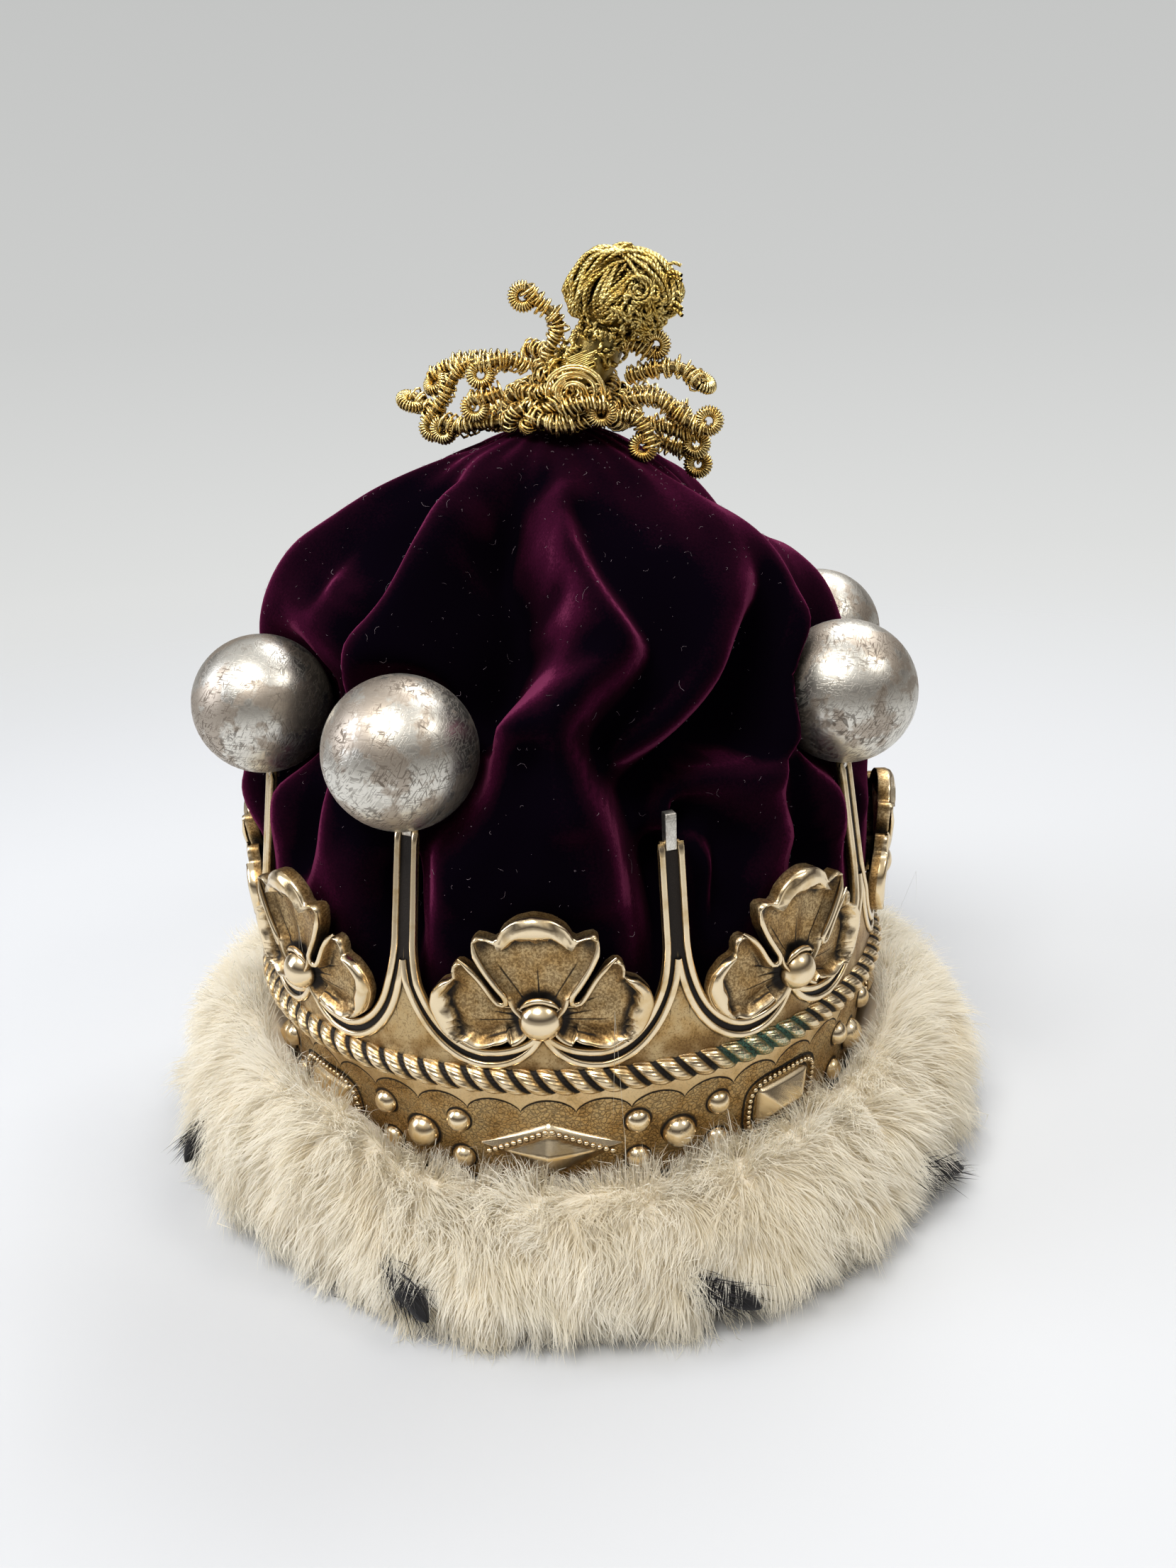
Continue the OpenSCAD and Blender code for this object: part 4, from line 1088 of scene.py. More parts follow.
def plainMaterial(name, colour, rough, sheen=0.0):
    # Fibre with slightly darker patches, 3 mm wide
    material, tree, place = newMaterial(name)
    patches = addNode(tree, "TexNoise", {"Vector": place, "Scale": 1 / (3 * mm), "Detail": 3,
                                         "Roughness": 0.55})
    darker = tuple(0.8 * c for c in ink(colour)[:3]) + (1,)
    tone = addNode(tree, "Mix", {0: patches, 6: ink(colour), 7: darker}, 2, **ofColours)
    shader = addNode(tree, "BsdfPrincipled", {"Base Color": tone, "Roughness": rough, "Sheen Weight": sheen})
    addNode(tree, "OutputMaterial", [shader], None)
    return material


lintPiece(capPiece(velvetMaterial()), plainMaterial("cotton_lint", "#a2939b", 0.9))
print("cap made")

# Tassel: bullion, which is fine gilt wire wound in long springs, round a bound neck and a looped head
tasselLook = dict(
    wire=0.38, loose=0.98, tight=0.62, lump=1.9, coil=2.15, curlCoil=1.4, curl=2.6, curlTurn=335, crimp=0.3,
    # the heap round the neck's foot: springs, and the reach and height of its levels
    heap=74, heapReach=(17.5, 15, 12, 8.5), heapHeight=(212.2, 215.4, 218.8, 222), rose=11,
)
# A strand: points seen from the front as (sideways, height, forwards), and the middle of its curled end
strands = [
    # upper left, raised
    ([(2.5, 228.5, 5), (2.3, 231.6, 6), (3.9, 234.1, 6), (5.4, 237.3, 6), (3.9, 240.7, 6),
      (0.8, 243.4, 6)], (-3.9, 245.5, 6)),
    # left, from the middle outwards
    ([(-3.7, 227.3, 8), (-6.9, 229.5, 10), (-10.8, 229.8, 11)], (-15.8, 226.4, 12)),
    ([(-11.2, 228.1, 2), (-16.1, 229.6, 3), (-21.3, 228.6, 4), (-24.7, 225.5, 4),
      (-27.6, 220.2, 4)], (-30.9, 212.7, 5)),
    ([(-10.3, 227.2, -8), (-16.8, 229.5, -8), (-23.4, 229.4, -8), (-27.6, 227.9, -8)],
      (-31.3, 223.8, -7), (0, 1, 0.5)),
    ([(-28.3, 215.9, 2), (-31.7, 216.9, 2)], (-37.2, 219.6, 2), (0, 1, 0.5)),
    ([(-4.9, 214.2, 12), (-10.9, 214.2, 12), (-17.5, 213.6, 11), (-23.1, 212.9, 10)], (-27.4, 212.3, 9)),
    ([(-10.1, 221.9, 14), (-13.9, 220.9, 15)], (-17.4, 218.2, 15)),
    # front
    ([(5.9, 217.3, 20), (10.6, 218.4, 21), (14.1, 218.5, 21)], (16.6, 215.9, 20)),
    # right, hooked
    ([(17.2, 230.9, 8), (20.6, 232, 9), (24.2, 233, 9)], (31.1, 231.9, 9), (0, 0, 1)),
    ([(23.3, 223.9, 9), (29.3, 225.7, 10), (35.1, 226.3, 10), (39.3, 224.9, 10)],
      (43.4, 222.1, 10), (0.2, 1, 0.4)),
    ([(23.2, 218.3, 10), (29.1, 218.9, 11), (33.2, 217.4, 11), (37.4, 213.3, 11)],
      (44.9, 212, 11), (0, 0, 1)),
    ([(27.1, 211.6, 6), (33.5, 210.5, 7), (37.3, 208.9, 7)], (41.5, 205.8, 7)),
    ([(30.1, 207, 2), (35.5, 204.6, 2)], (42, 199.7, 2)),
    ([(21.1, 214.7, 15), (25.7, 213.8, 16), (27.7, 210.9, 16)], (27.2, 206.4, 16)),
    # back
    ([(10, 218, -10), (15, 221, -18), (15, 216, -24)], (14, 212.5, -26)),
    ([(0, 218, -10), (-8, 220, -17), (-14, 216, -22)], (-17, 212, -23)),
    ([(18, 217, -8), (28, 219, -12), (33, 215, -14)], (37, 211.5, -14)),
    ([(4, 222, -8), (2, 228, -14), (-2, 231, -18)], (-5, 229, -21)),
]


def atFront(points):
    points = np.atleast_2d(np.asarray(points, float))
    return np.stack([points[:, 0], -points[:, 2], points[:, 1]], axis=1)


def springPart(path, length, coil, pitch, wire, crimp):
    # A spring of wire round a path, its turns uneven by crimp
    turns = max(2, int(length / pitch))
    count = turns * 9
    t = np.linspace(0, 1, count + 1)
    spot = t * (len(path) - 1)
    lines = []
    for rows in (path,) + sidesOf(path):
        lines.append(np.stack([np.interp(spot, np.arange(len(path)), rows[:, k]) for k in range(3)], axis=1))
    middle, way, side, up = lines
    # The turns bunch up every couple of millimetres
    waves = 2 * np.pi * length * t / tasselLook["lump"] + chance.normal() + np.sin(t * 9)
    swell = 1 + crimp * 0.75 * np.sin(waves)
    knots = np.arange(2 * turns + 2)
    wander = np.interp(2 * t * turns, knots, 1 + crimp * chance.uniform(-1, 1, 2 * turns + 2))
    shove = np.interp(2 * t * turns, knots, crimp * pitch * 2 * chance.uniform(-1, 1, 2 * turns + 2))
    turn = 2 * np.pi * t * turns
    offset = side * np.cos(turn)[:, None] + up * np.sin(turn)[:, None]
    lean = (np.cos(turn + chance.uniform(0, 6)) * crimp * coil * 0.6)[:, None] * way
    line = middle + offset * (coil * wander * swell)[:, None] + way * shove[:, None] + lean
    return tubePart(line, wire, 4)


def shadePart(path, radius):
    # A dark tube inside a spring, as painted shade of its inside
    return tubePart(path, radius, 6, {"dark": 1.0})


def strandParts(points, centre, axis=None):
    # A crimped strand whose end is wound closely and curled to a ring, entered along its edge
    look = tasselLook
    body, centre = atFront(points), atFront(centre)[0]
    towards = centre - body[-1]
    towards /= np.linalg.norm(towards)
    normal = atFront(axis or ((0, 0, 1) if points[-1][0] < 12 else (0, 0, -1)))[0]
    normal -= towards * (normal @ towards)
    normal /= np.linalg.norm(normal)
    flat = np.cross(towards, normal)
    path, length = curveThrough(np.vstack([body, centre + look["curl"] * flat]), 28)
    parts = [springPart(path, length, look["coil"], look["loose"], look["wire"], look["crimp"]),
             shadePart(path, look["coil"] * 0.72)]
    spin = np.linspace(0, np.radians(look["curlTurn"]), 36)[:, None]
    ring = centre + look["curl"] * (flat * np.cos(spin) + towards * np.sin(spin))
    length = np.radians(look["curlTurn"]) * look["curl"]
    parts.append(springPart(ring, length, look["curlCoil"], look["tight"], look["wire"] * 0.75, 0.02))
    parts.append(shadePart(ring, look["curlCoil"] * 0.86))
    return parts


def moundParts():
    # Short springs heaped round the foot of the neck, each an arc across the heap
    look = tasselLook
    parts = []
    upwards = np.array([0, 0, 1])
    for k in range(look["heap"]):
        level = k % 4
        angle = k * 137.5
        reach = look["heapReach"][level] + chance.uniform(-1.4, 1.4)
        height = look["heapHeight"][level] + chance.uniform(-1, 1)
        middle = around(reach, angle, height) + [6.5, -2, 2.2]
        across = np.cross(around(1, angle, 0), upwards)
        along = across * chance.uniform(0.3, 1) + upwards * chance.uniform(-0.7, 0.7)
        along /= np.linalg.norm(along)
        t = np.linspace(-1, 1, 10)[:, None]
        size = chance.uniform(4, 6.5)
        path = middle + along * t * size - around(1, angle, 0.2) * t ** 2 * 2.2
        path[:, 2] = np.maximum(path[:, 2], 213)  # clear of the velvet
        coil = chance.uniform(1.7, 2.2)
        parts.append(springPart(path, 2 * size, coil, look["loose"], look["wire"], look["crimp"]))
        parts.append(shadePart(path, coil * 0.72))
    for k in range(look["rose"]):
        # A rose of bare wire on the heap's front
        start, sweep = chance.uniform(0, 2 * np.pi), chance.uniform(2.6, 5.2)
        t = start + np.linspace(0, sweep, 16)
        reach = 1.2 + 0.62 * k
        line = np.stack([reach * np.cos(t) * 1.1, 0.03 * reach ** 2 + 0.5 * np.sin(2 * t + k),
                         reach * np.sin(t) * 0.92], axis=1)
        parts.append(tubePart(line + [9.5, -19.6, 221.2], 0.4, 5))
    return parts


def cordPart(points, count):
    path = curveThrough(points, count)[0]
    return tubePart(path, headLook["cord"] * chance.uniform(0.9, 1.2), 6, twist=headLook["twist"])


def shaken(amount):
    return chance.uniform(-amount, amount, 3)


def sweptParts(rows):
    parts = []
    for count, start, startSpread, end, endSpread, lifts, points, varied in rows:
        for k in range(count):
            lift = chance.uniform(0.86, 1.1) if varied else 1
            first = np.array(start) + shaken(startSpread)
            last = (first if end is None else np.array(end)) + shaken(endSpread)
            middle = [lift * share for share in lifts[1:-1]]
            parts.append(overBall(first, last, [lifts[0], *middle, lifts[-1]], points))
    return parts


def overBall(start, end, lifts, count):
    # A cord from one side of the head to another, at several distances from its skin
    start, end = start / np.linalg.norm(start), end / np.linalg.norm(end)
    t = np.linspace(0, 1, len(lifts))[:, None]
    way = start * (1 - t) + end * t + chance.normal(size=(len(lifts), 3)) * 0.05
    way /= np.linalg.norm(way, axis=1, keepdims=True)
    lifts = np.array(lifts)[:, None] * (1 + chance.normal(size=(len(lifts), 1)) * 0.03)
    return cordPart(headLook["middle"] + way * np.array(headLook["size"]) * lifts, count)


def loopParts(spot, out, size):
    # A short loop of cord that stands off the skin
    along = np.cross(out, chance.normal(size=3))
    along *= size / np.linalg.norm(along)
    return cordPart([spot - along, spot - along * 0.6 + out * size * 0.7, spot + out * size,
                     spot + along * 0.6 + out * size * 0.6, spot + along], 9)


headLook = dict(
    cord=0.5, twist=5.2, middle=(22.6, -8.0, 244.6), size=(14.2, 12.6, 11.4), neckLow=(9.5, -4.2, 223.5),
    neckHigh=(21, -7.6, 238.5), neckLoops=200, bound=11,
    # Cords over the head: how many, start, its spread, end or None for near the start, its spread, the lift
    # above the skin from start to end, points, and True where the lift varies
    swept=[
        (54, (-1.0, -0.3, -0.35), 0.34, (0.15, -0.3, 1.0), 0.3, (0.74, 1, 1.06, 0.95), 20, True),
        (32, (0.1, -0.3, 1.0), 0.3, (1.0, -0.4, -0.5), 0.5, (0.84, 1, 1, 1.04, 0.86), 20, True),
        (16, (0.35, -1.0, -0.5), 0.6, None, 0.9, (0.8, 1.02, 0.98, 0.82), 14, False),
        (16, (-0.6, -0.8, -0.5), 0.35, (0.3, -0.8, 0.55), 0.4, (0.8, 0.99, 1.0, 0.84), 14, False),
        (34, (0.1, 0.9, 0.1), 0.8, None, 1.0, (0.8, 0.98, 0.98, 0.84), 14, False),
    ],
    behind=[
        (30, (0, 0.5, 0.95), 0.6, (0, 0.9, -0.55), 0.6, (0.8, 0.97, 0.97, 0.84), 14, False),
        (14, (0.9, -0.5, 0.3), 0.35, (0.7, 0.8, -0.4), 0.4, (0.8, 0.97, 0.97, 0.84), 14, False),
    ],
    loops=80, rosette=3, fringe=9,
    # the stuffing: low end, high end, reaches between them
    cores=[((5.5, -2, 212), (10, -4, 226), [10, 12.5, 9, 7.5]),
           ((9.5, -4.2, 223), (21, -7.6, 240), [8.6, 8.2, 6.8, 7.5]),
           ((22.3, -7.6, 233.8), (23, -7.8, 254.4), [1, 8.2, 10.6, 10.9, 9.8, 6.2, 1])],
)


def headParts():
    # A mop of twisted cords, swept from the left over the top, hanging on the right, with a rosette in front
    look = headLook
    middle = np.array(look["middle"])
    parts = sweptParts(look["swept"])
    for k in range(look["loops"]):
        # close loops under the rosette and round to the right
        out = np.array([0.55, -0.75, -0.6]) + shaken(0.62)
        out /= np.linalg.norm(out)
        parts.append(loopParts(middle + out * look["size"] * 0.93, out, chance.uniform(1.0, 2.0)))
    for k in range(look["rosette"]):
        t = np.linspace(0, 2 * np.pi * chance.uniform(0.75, 0.95), 20) + 2.1 * k
        reach = 1.1 + 1.2 * k
        line = np.stack([reach * np.cos(t), 0.4 * np.sin(2 * t + k), reach * np.sin(t) * 0.9], axis=1)
        parts.append(tubePart(line + middle + [4.6, -12.7, 1.2], 0.52, 6, twist=look["twist"]))
    for k in range(look["fringe"]):
        turn = chance.uniform(-1.1, 0.9)
        base = middle + [10, -5, 6 * turn + 2]
        tip = middle + [15.6, -7 + chance.uniform(-3, 3), 7.5 * turn + 2.5]
        parts.append(cordPart([base, (base + tip) / 2 + [0.5, 0, 1.4], tip], 10))
    return parts + sweptParts(look["behind"])


def neckParts():
    # The neck is covered with small loops of cord; at its foot smooth threads are bound round it
    look = headLook
    parts = []
    low, high = np.array(look["neckLow"]), np.array(look["neckHigh"])
    for k in range(look["neckLoops"]):
        t, turn = chance.uniform(0.12, 1), chance.uniform(0, 360)
        out = around(1, turn, 0.15)
        reach = np.interp(t, [0, 0.35, 0.8, 1], [9.6, 8.9, 7.2, 8.4])
        parts.append(loopParts(low + (high - low) * t + out * reach * 0.97, out, chance.uniform(0.9, 1.7)))
    for k in range(look["bound"]):
        spin = np.radians(np.linspace(-78 + chance.uniform(-9, 9), 2 + chance.uniform(-12, 12), 12))
        line = np.stack([np.sin(spin), -np.cos(spin), 0.35 * np.sin(spin)], axis=1) * 9.7
        parts.append(tubePart(line + low + (high - low) * 0.38 + [0, 0, 0.5 * (k - 5)], 0.24, 5))
    return parts


def corePart(low, high, reaches):
    # The stuffing behind the cords, dark as painted shade between them
    u, v, faces = gridPattern(36, 20)
    turn = 2 * np.pi * u
    reach = np.interp(v, np.linspace(0, 1, len(reaches)), reaches)
    line = np.array(low, float) + (np.array(high, float) - low) * v[:, None]
    ring = np.stack([np.cos(turn) * reach, np.sin(turn) * reach, 0 * turn], axis=1)
    return line + ring, faces, {"dark": 1.0}


def bullionMaterial(name, colour, warm, deep, rough, cord):
    # Gilt wire and thread: bright where it turns to the light, with painted shade in the deep colour in the
    # hollows, inside the springs and in the grooves of the twist
    material, tree, place = newMaterial(name)
    hollow = addNode(tree, "AmbientOcclusion", {"Distance": 2.6 * mm}, "AO", samples=6, only_local=True)
    patches, depth = [
        addNode(tree, "TexNoise", {"Vector": place, "Scale": 1 / (size * mm), "Detail": detail,
                                   "Roughness": 0.55})
        for size, detail in ((5, 3), (0.4, 2))]
    dark = addNode(tree, "Attribute", out="Fac", attribute_name="dark")
    # Painted shade: the deep colour in the hollows, and on the dark tubes inside the springs and in the
    # stuffing
    shades = [addNode(tree, "MapRange", [hollow, 0.05, 0.62, 0.9, 0], **eased),
              addNode(tree, "Math", [dark, 0.8], operation="MULTIPLY")]
    if cord:
        phase = addNode(tree, "Attribute", out="Fac", attribute_name="twist")
        ply = addNode(tree, "Math", [phase], operation="SINE")
        depth = addNode(tree, "Math", [depth, ply], operation="ADD")
        # Painted shade in the grooves between the two plies
        shades.append(addNode(tree, "MapRange", [ply, -1, -0.1, 0.65, 0], **eased))
    share = addNode(tree, "MapRange", [patches, 0.4, 0.7], **eased)
    tone = addNode(tree, "Mix", {0: share, 6: ink(colour), 7: ink(warm)}, 2, **ofColours)
    for share in shades:
        tone = addNode(tree, "Mix", {0: share, 6: tone, 7: ink(deep)}, 2, **ofColours)
    bump = addNode(tree, "Bump", {"Strength": 0.6, "Distance": 0.18 * mm, "Height": depth})
    shader = addNode(tree, "BsdfPrincipled", {"Base Color": tone, "Normal": bump, "Metallic": 1,
                                              "Roughness": rough})
    addNode(tree, "OutputMaterial", [shader], None)
    return material


# The third colour of each is the painted shade
wireGilt = bullionMaterial("gilt_bullion_wire", "#ffe7a2", "#e8c06a", "#5a4018", 0.24, False)
threadGilt = bullionMaterial("gilt_twisted_thread", "#f0d88c", "#d8b65c", "#54421a", 0.32, True)
springs = []
for strand in strands:
    springs += strandParts(*strand)
springs += moundParts()
dress(joinedPiece("bullion_springs", springs), wireGilt, "bullion", "tassel")
cords = headParts() + neckParts() + [corePart(*core) for core in headLook["cores"]]
dress(joinedPiece("tassel_cords", cords), threadGilt, "bullion")
print("tassel made")

# Fur: a turn-up of short ivory fur. Hair lies outwards and down from the band, in soft tufts
furLook = dict(
    # radius and height from the band over the top and down to the table
    profile=[(94.6, 27), (100, 30), (107, 28), (115, 21.5), (119.5, 13), (118, 5), (112, 1.6)],
    length=(8, 14.5), width=0.28, hairs=102000, pieces=3, tuftAngle=4.4, tuftRows=7, tuftKinds=4096,
    root="#f4ecd9", tip="#fcf8ec", tan="#ebdfc2",
    sideSwell=4.5, inside=86.6, tableGap=0.25, clearTail=(3.2, 4),
)
# How much higher the fur stands, by angle
furTop = dict(at=[-180, -120, -75, -50, -36, -30, -24, -15, 0, 20, 40, 56, 75, 100, 140, 180],
              by=[10, 11, 14, 14, 14, 11, 1, 0, -1, 0, 3, 5, 9, 10, 10, 10])
# Angle and height of each tail
tails = [(-18.5, 13), (19, 11), (57, 9.5), (105, 12), (150, 11), (-150, 12), (-105, 11), (-65, 15.5)]


def furSpot(share, angle):
    # The skin's radius and height; share runs from the band over the top and down to the table
    rows = np.array(furLook["profile"], float)
    k = np.linspace(0, 1, len(rows))
    radius = np.interp(share, k, rows[:, 0])
    height = np.interp(share, k, rows[:, 1])
    lift = np.interp(unturned(angle), furTop["at"], furTop["by"])
    height = height + lift * smoothStep(height, 4, 30)
    swell = 1.6 * np.sin(np.radians(angle * 3 + 40)) + 1.1 * np.sin(np.radians(angle * 8 + 10) + share * 4)
    swell += furLook["sideSwell"] * np.exp(-((np.abs(unturned(angle)) - 92) / 34) ** 2)
    return radius + swell * smoothStep(share, 0.1, 0.5), height


def furWay(share, angle):
    low = np.stack(furSpot(np.clip(share + 0.02, 0, 1), angle), axis=1)
    high = np.stack(furSpot(np.clip(share - 0.02, 0, 1), angle), axis=1)
    down = low - high
    down /= np.maximum(np.linalg.norm(down, axis=1, keepdims=True), 1e-6)
    return down, np.stack([-down[:, 1], down[:, 0]], axis=1)


def skinPiece(material):
    look = furLook
    u, v, faces = gridPattern(180, 28)
    angle = u * 360
    outer = 0.72  # the share of the rows on the fur's outside; the rest run under it and up its inside
    radius, height = furSpot(np.clip(v / outer, 0, 1), angle)
    rest = np.clip((v - outer) / (1 - outer), 0, 1)
    lowRadius = furSpot(np.ones_like(angle), angle)[0]
    firstRadius, firstHeight = furSpot(np.zeros_like(angle), angle)
    under = np.interp(rest, [0, 0.5, 0.95, 1], [0, 1, 1, 1])
    radius = np.where(rest > 0, under * (look["inside"] - lowRadius) + lowRadius, radius)
    height = np.where(rest > 0, np.interp(rest, [0, 0.04, 0.5, 0.95], [1, 0, 0, 1]) + 0.6, height)
    height = np.where(rest > 0.5, 0.6 + (24 - 0.6) * (rest - 0.5) / 0.5, height)
    radius = np.where(rest >= 1, firstRadius, radius)
    height = np.where(rest >= 1, firstHeight, height)
    piece = joinedPiece("fur_skin", [(around(radius, angle, height), faces, {})])
    return dress(piece, material, "fur", "fur_trim")


def hairPattern():
    # A strip of three triangles that ends in a point
    bm = bmesh.new()
    bmesh.ops.create_grid(bm, x_segments=2, y_segments=1, size=0.5)
    tip = [vert for vert in bm.verts if vert.co.x > 0.49]
    bmesh.ops.pointmerge(bm, verts=tip, merge_co=(0.5, 0, 0))
    bmesh.ops.triangulate(bm, faces=bm.faces)
    bm.verts.index_update()
    spots = np.array([vert.co[:2] for vert in bm.verts]) + 0.5
    faces = np.array([[vert.index for vert in face.verts] for face in bm.faces])
    bm.free()
    return spots[:, 0], spots[:, 1], faces


def hairParts(root, way, out, length, width, shade, droop=0.5):
    # Flat tapering hairs: root points, directions, outward directions
    u, v, faces = hairPattern()
    copies = len(root)
    t = u[None, :, None]
    reach = length[:, None, None]
    bend = out[:, None, :] * (t - droop * t ** 2) + way[:, None, :] * t
    side = np.cross(out, way)  # so that each hair faces outwards
    side /= np.maximum(np.linalg.norm(side, axis=1, keepdims=True), 1e-6)
    roll = chance.uniform(-0.7, 0.7, (copies, 1))
    side = side * np.cos(roll) + out * np.sin(roll)
    wide = (v[None, :] - 0.5)[:, :, None] * width[:, None, None] * (1.0 - 0.7 * t)
    places = root[:, None, :] + bend * reach + side[:, None, :] * wide
    marks = {"shade": np.broadcast_to(shade[:, None], (copies, len(u))),
             "along": np.broadcast_to(u[None, :], (copies, len(u)))}
    return places, faces, marks


def smoothNoise(angle, share, seed, fine):
    # A few waves that wander over the fur, from -1 to 1
    a = np.radians(angle)
    rest = np.random.default_rng(seed).uniform(0, 6.28, 6)
    value = (np.sin(a * 3 * fine + rest[0] + 4 * share) + np.sin(a * 7 * fine + rest[1] - 7 * share)
             + np.sin(a * 13 * fine + rest[2] + 11 * share) + np.sin(a * 23 * fine + rest[3] - 17 * share))
    return value / 3.0


def furPieces(material):
    look = furLook
    for part in range(look["pieces"]):
        count = look["hairs"] // look["pieces"]
        angle = chance.uniform(0, 360, count)
        share = chance.uniform(0, 1, count) ** 0.92
        # Tufts in wandering rows, each with its own comb, fall and shade
        warpedShare = share + 0.03 * smoothNoise(angle, share, 4, 3)
        row = np.floor(warpedShare * look["tuftRows"])
        cell = (angle + 2.5 * smoothNoise(angle, share, 3, 2)) / look["tuftAngle"] + row * 0.5
        column = np.floor(cell)
        key = (column * 31 + row * 977).astype(int) % look["tuftKinds"]
        tuft = np.clip(np.random.default_rng(5).normal(size=(look["tuftKinds"], 3)), -1.5, 1.5)[key]
        radius, height = furSpot(share, angle)
        root = around(radius, angle, height)
        # The hairs of a tuft draw together towards its middle
        tuftAngle = angle + (column + 0.5 - cell) * look["tuftAngle"]
        tuftShare = np.clip(share + (row + 0.5) / look["tuftRows"] - warpedShare, 0, 1)
        tuftRadius, tuftHeight = furSpot(tuftShare, tuftAngle)
        pull = around(tuftRadius, tuftAngle, tuftHeight) - root
        pull *= np.minimum(1, 5 / np.maximum(np.linalg.norm(pull, axis=1, keepdims=True), 0.1))
        down, out = furWay(share, angle)
        flatOut = around(1, angle, 0)
        wayDown = flatOut * down[:, :1] + np.array([0, 0, 1]) * down[:, 1:]
        wayOut = flatOut * out[:, :1] + np.array([0, 0, 1]) * out[:, 1:]
        wayOut *= np.sign((wayOut * flatOut).sum(axis=1) + 0.6 * wayOut[:, 2] + 1e-6)[:, None]
        turning = np.cross(wayOut, wayDown)
        comb = 0.55 * smoothNoise(angle, share, 8, 1) + 0.25 * tuft[:, 0]
        # Near the band the hair stands up over the metal, lower down it falls outwards
        fall = smoothStep(share, 0.0, 0.5) * 0.95 - 0.05
        way = wayDown * (fall + 0.25 * tuft[:, 1])[:, None] + turning * comb[:, None]
        way += chance.normal(size=(count, 3)) * 0.19
        length = chance.uniform(*look["length"], count) * (1 + 0.2 * np.clip(tuft[:, 2], -1.6, 1.2))
        length *= 1 - 0.45 * (1 - smoothStep(share, 0, 0.25))
        way += pull * (0.42 / length)[:, None]
        size = np.linalg.norm(way + wayOut * 0.5, axis=1)
        way, lean = way / size[:, None], wayOut / size[:, None]
        width = look["width"] * chance.uniform(0.75, 1.25, count)
        shade = np.clip(0.5 + 0.16 * tuft[:, 2] + 0.1 * chance.normal(size=count)
                        + 0.22 * smoothNoise(angle, share, 9, 1), 0, 1)
        places, faces, marks = hairParts(root, way * 0.85, lean * 0.9, length, width, shade)
        places[..., 2] = np.maximum(places[..., 2], look["tableGap"])
        clear = np.ones(count, bool)
        for tailAngle, tailHeight in tails:
            beside = np.abs(unturned(angle - tailAngle - 3)) < look["clearTail"][0]
            clear &= ~(beside & (np.abs(height - tailHeight + 1) < look["clearTail"][1]))
        # Each hair takes its light as the soft surface does, not as a flat strip
        facing = wayOut * 0.7 + way * 0.25 + [0, 0, 0.65] + chance.normal(size=(count, 3)) * 0.12
        facing /= np.linalg.norm(facing, axis=1, keepdims=True)
        normals = np.repeat(facing[clear], places.shape[1], axis=0)
        hairs = [(places[clear], faces, {key: mark[clear] for key, mark in marks.items()})]
        piece = joinedPiece("fur_hair_%d" % (part + 1), hairs, weld=False, normals=normals)
        dress(piece, material, "fur")


def furMaterial(name, root, tip, tan, rough, glow):
    # Ermine and rabbit hair: clear tips over a denser tan undercoat, a soft sheen
    material, tree = newMaterial(name)[:2]
    along, shade = [addNode(tree, "Attribute", out="Fac", attribute_name=key) for key in ("along", "shade")]
    paler = addNode(tree, "MapRange", [along, 0, 0.55], **eased)
    tone = addNode(tree, "Mix", {0: paler, 6: ink(root), 7: ink(tip)}, 2, **ofColours)
    tanned = addNode(tree, "MapRange", [shade, 0.45, 0.95, 0, 0.42], **eased)
    tone = addNode(tree, "Mix", {0: tanned, 6: tone, 7: ink(tan)}, 2, **ofColours)
    shader = addNode(tree, "BsdfPrincipled", {"Base Color": tone, "Roughness": rough, "Sheen Weight": 0.2,
                                              "Specular IOR Level": 0.3})
    # Light goes through a hair to those behind it
    through = addNode(tree, "BsdfTranslucent", [tone])
    both = addNode(tree, "MixShader", [glow, shader, through])
    addNode(tree, "OutputMaterial", [both], None)
    return material


tailLook = dict(rootRadius=116.5, tipRadius=130, turn=(-2, 6.5), rise=(3, -2.5), hairs=520, spread=(0.4, 4.0),
                length=(8, 14), longest=19, width=0.5, body=2.9, tableGap=0.3)


def tailPieces(material):
    look = tailLook
    count = look["hairs"]
    for k, (angle, height) in enumerate(tails):
        base = around(look["rootRadius"], angle + look["turn"][0], height + look["rise"][0])
        tip = around(look["tipRadius"], angle + look["turn"][1], height + look["rise"][1])
        axis = tip - base
        axis /= np.linalg.norm(axis)
        spread = chance.normal(size=(count, 3))
        spread -= axis * (spread @ axis)[:, None]
        spread /= np.maximum(np.linalg.norm(spread, axis=1, keepdims=True), 1e-6)
        start = chance.uniform(0, 1, count) ** 1.3 * 8
        reach = chance.uniform(*look["spread"], count) * (1 - start / 13)
        root = base + axis * start[:, None] + spread * reach[:, None]
        way = axis * 1.0 + chance.normal(size=(count, 3)) * 0.2 - spread * 0.04
        length = np.minimum(chance.uniform(*look["length"], count), look["longest"] - start)
        shade = chance.uniform(0, 1, count)
        tuft = hairParts(root, way, spread * 0.25, length, np.full(count, look["width"]), shade, 0.9)
        tuft[0][..., 2] = np.maximum(tuft[0][..., 2], look["tableGap"])
        core = curveThrough([base - axis, base + axis * 6, tip - axis * 3], 14)[0]
        t = np.linspace(0, 1, 14)
        thick = look["body"] * np.sqrt(np.clip(1 - (2 * t - 0.9) ** 2 * 0.82, 0.02, 1))
        body = tubePart(core, thick, 12, {"shade": 0.2, "along": 0.1})
        piece = joinedPiece("tail_tuft_%d" % (k + 1), [tuft, body], weld=False)
        dress(piece, material, "fur_tail", "ermine_tail_%d" % (k + 1))


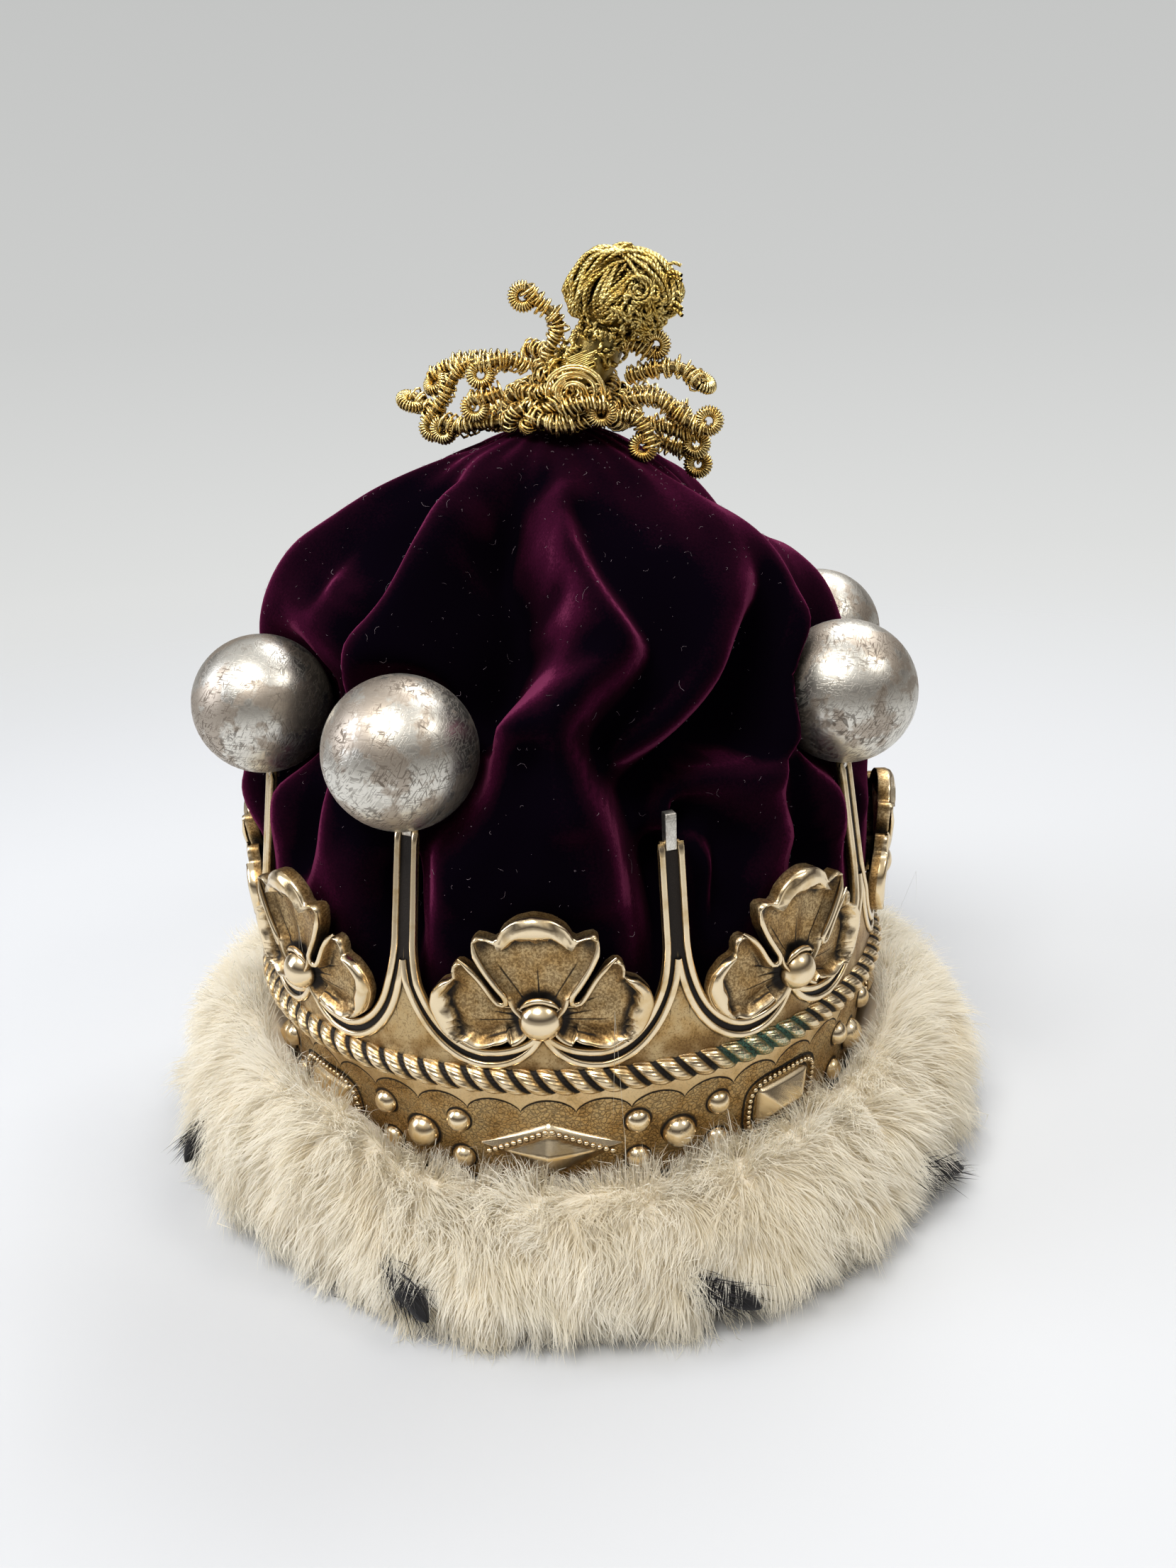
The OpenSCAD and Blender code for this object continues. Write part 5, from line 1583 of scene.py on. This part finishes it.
skinPiece(plainMaterial("fur_undercoat", "#efe7d6", 0.95, 0.2))
furPieces(furMaterial("ivory_fur", furLook["root"], furLook["tip"], furLook["tan"], 0.62, 0.5))
tailPieces(furMaterial("black_tail_hair", "#08070a", "#17161b", "#241c1a", 0.75, 0.1))
print("fur made")

# Stage, light and camera
studio = dict(
    floorReach=3.0, fadeStart=0.3, fadeEnd=1.0, paper="#c2c4c7", lens=30.12, distance=0.4035, azimuth=4.40,
    elevation=20.38, roll=-2.63, aim=(0.00704, 0.1043), roomStrength=0.62,
    # what the metal mirrors, from the floor up, and what the eye sees behind the object
    room=[(0.0, "#d4d2cf"), (0.17, "#a8a4a1"), (0.24, "#57504e"), (0.42, "#6f6a68"), (0.6, "#c9c6c3"),
          (0.78, "#ffffff"), (1.0, "#ffffff")],
    behind=[(0.15, "#f3f3f3"), (0.265, "#e8e9e8"), (0.323, "#dedfde"), (0.49, "#cdcecd"),
            (0.69, "#c4c5c4")],
    # name, place, size, power, colour
    lamps=[
        ("ceiling_front", (-0.25, -0.55, 1.05), (0.5, 0.35), 9, "#fffcf7"),
        ("ceiling_back", (0.3, 0.6, 1.1), (0.7, 0.5), 9, "#ffffff"),
        ("window_left", (-1.0, -0.2, 0.6), (0.5, 0.7), 6, "#f2f6ff"),
        ("ceiling_right", (0.75, -0.3, 0.95), (0.3, 0.3), 2.5, "#fffaf2"),
    ],
    lampAim=(0, 0, 0.11),
)


def floorPiece():
    material, tree, place = newMaterial("matt_paper")
    far = flatDistance(tree, place)
    clear = addNode(tree, "MapRange", [far, studio["fadeStart"], studio["fadeEnd"]], **eased)
    shader = addNode(tree, "BsdfPrincipled", {"Base Color": ink(studio["paper"]), "Roughness": 0.8,
                                              "Specular IOR Level": 0.1})
    through = addNode(tree, "BsdfTransparent")
    both = addNode(tree, "MixShader", [clear, shader, through])
    addNode(tree, "OutputMaterial", [both], None)
    u, v, faces = gridPattern(40, 40)
    reach = studio["floorReach"] / mm
    places = np.stack([(u - 0.5) * 2 * reach, (v - 0.5) * 2 * reach, np.full_like(u, -0.05)], axis=1)
    floor = joinedPiece("studio_floor", [(places, faces, {})])
    floor.data.materials.append(material)


def roomLight():
    # A pale ceiling and dimmer walls for the metal, and grey behind the object for the eye
    world = bpy.data.worlds.new("room")
    world.use_nodes = True
    tree = world.node_tree
    tree.nodes.clear()
    way = addNode(tree, "TexCoord", out="Generated")
    up = addNode(tree, "SeparateXYZ", [way], 2)
    level = addNode(tree, "MapRange", [up, -0.2, 1], **eased)
    walls = addNode(tree, "ValToRGB", [level], stops=studio["room"])
    level = addNode(tree, "Math", [up, 0.5], operation="ADD")
    seen = addNode(tree, "ValToRGB", [level], stops=studio["behind"])
    eye = addNode(tree, "LightPath", out="Is Camera Ray")
    light = addNode(tree, "Background", [walls, studio["roomStrength"]])
    back = addNode(tree, "Background", [seen, 1])
    both = addNode(tree, "MixShader", [eye, light, back])
    addNode(tree, "OutputWorld", [both], None)
    bpy.context.scene.world = world


def softLight(name, place, size, power, colour):
    data = bpy.data.lights.new(name, "AREA")
    data.shape = "RECTANGLE"
    data.size, data.size_y = size
    data.energy = power
    data.color = ink(colour)[:3]
    lamp = bpy.data.objects.new(name, data)
    bpy.context.collection.objects.link(lamp)
    lamp.location = place
    aim = Vector(studio["lampAim"]) - Vector(place)
    lamp.rotation_euler = aim.to_track_quat("-Z", "Y").to_euler()


def cameraPiece():
    look = studio
    turn, rise = np.radians(look["azimuth"]), np.radians(look["elevation"])
    back = np.array([np.sin(turn) * np.cos(rise), -np.cos(turn) * np.cos(rise), np.sin(rise)])
    right = np.array([np.cos(turn), np.sin(turn), 0])
    up = np.cross(back, right)
    aim = right * look["aim"][0] + np.array([0, 0, look["aim"][1]])
    roll = np.radians(look["roll"])
    rolledRight = right * np.cos(roll) + up * np.sin(roll)
    rolledUp = up * np.cos(roll) - right * np.sin(roll)
    data = bpy.data.cameras.new("camera")
    data.sensor_fit = "VERTICAL"
    data.sensor_height = 36
    data.lens = look["lens"]
    data.clip_start = 0.01
    camera = bpy.data.objects.new("camera", data)
    bpy.context.collection.objects.link(camera)
    axes = Matrix((rolledRight, rolledUp, back)).transposed().to_4x4()
    camera.matrix_world = Matrix.Translation(Vector(aim + back * look["distance"])) @ axes
    bpy.context.scene.camera = camera


floorPiece()
roomLight()
for lamp in studio["lamps"]:
    softLight(*lamp)
cameraPiece()
bpy.context.scene.view_settings.view_transform = "Standard"
print("stage, light and camera set")
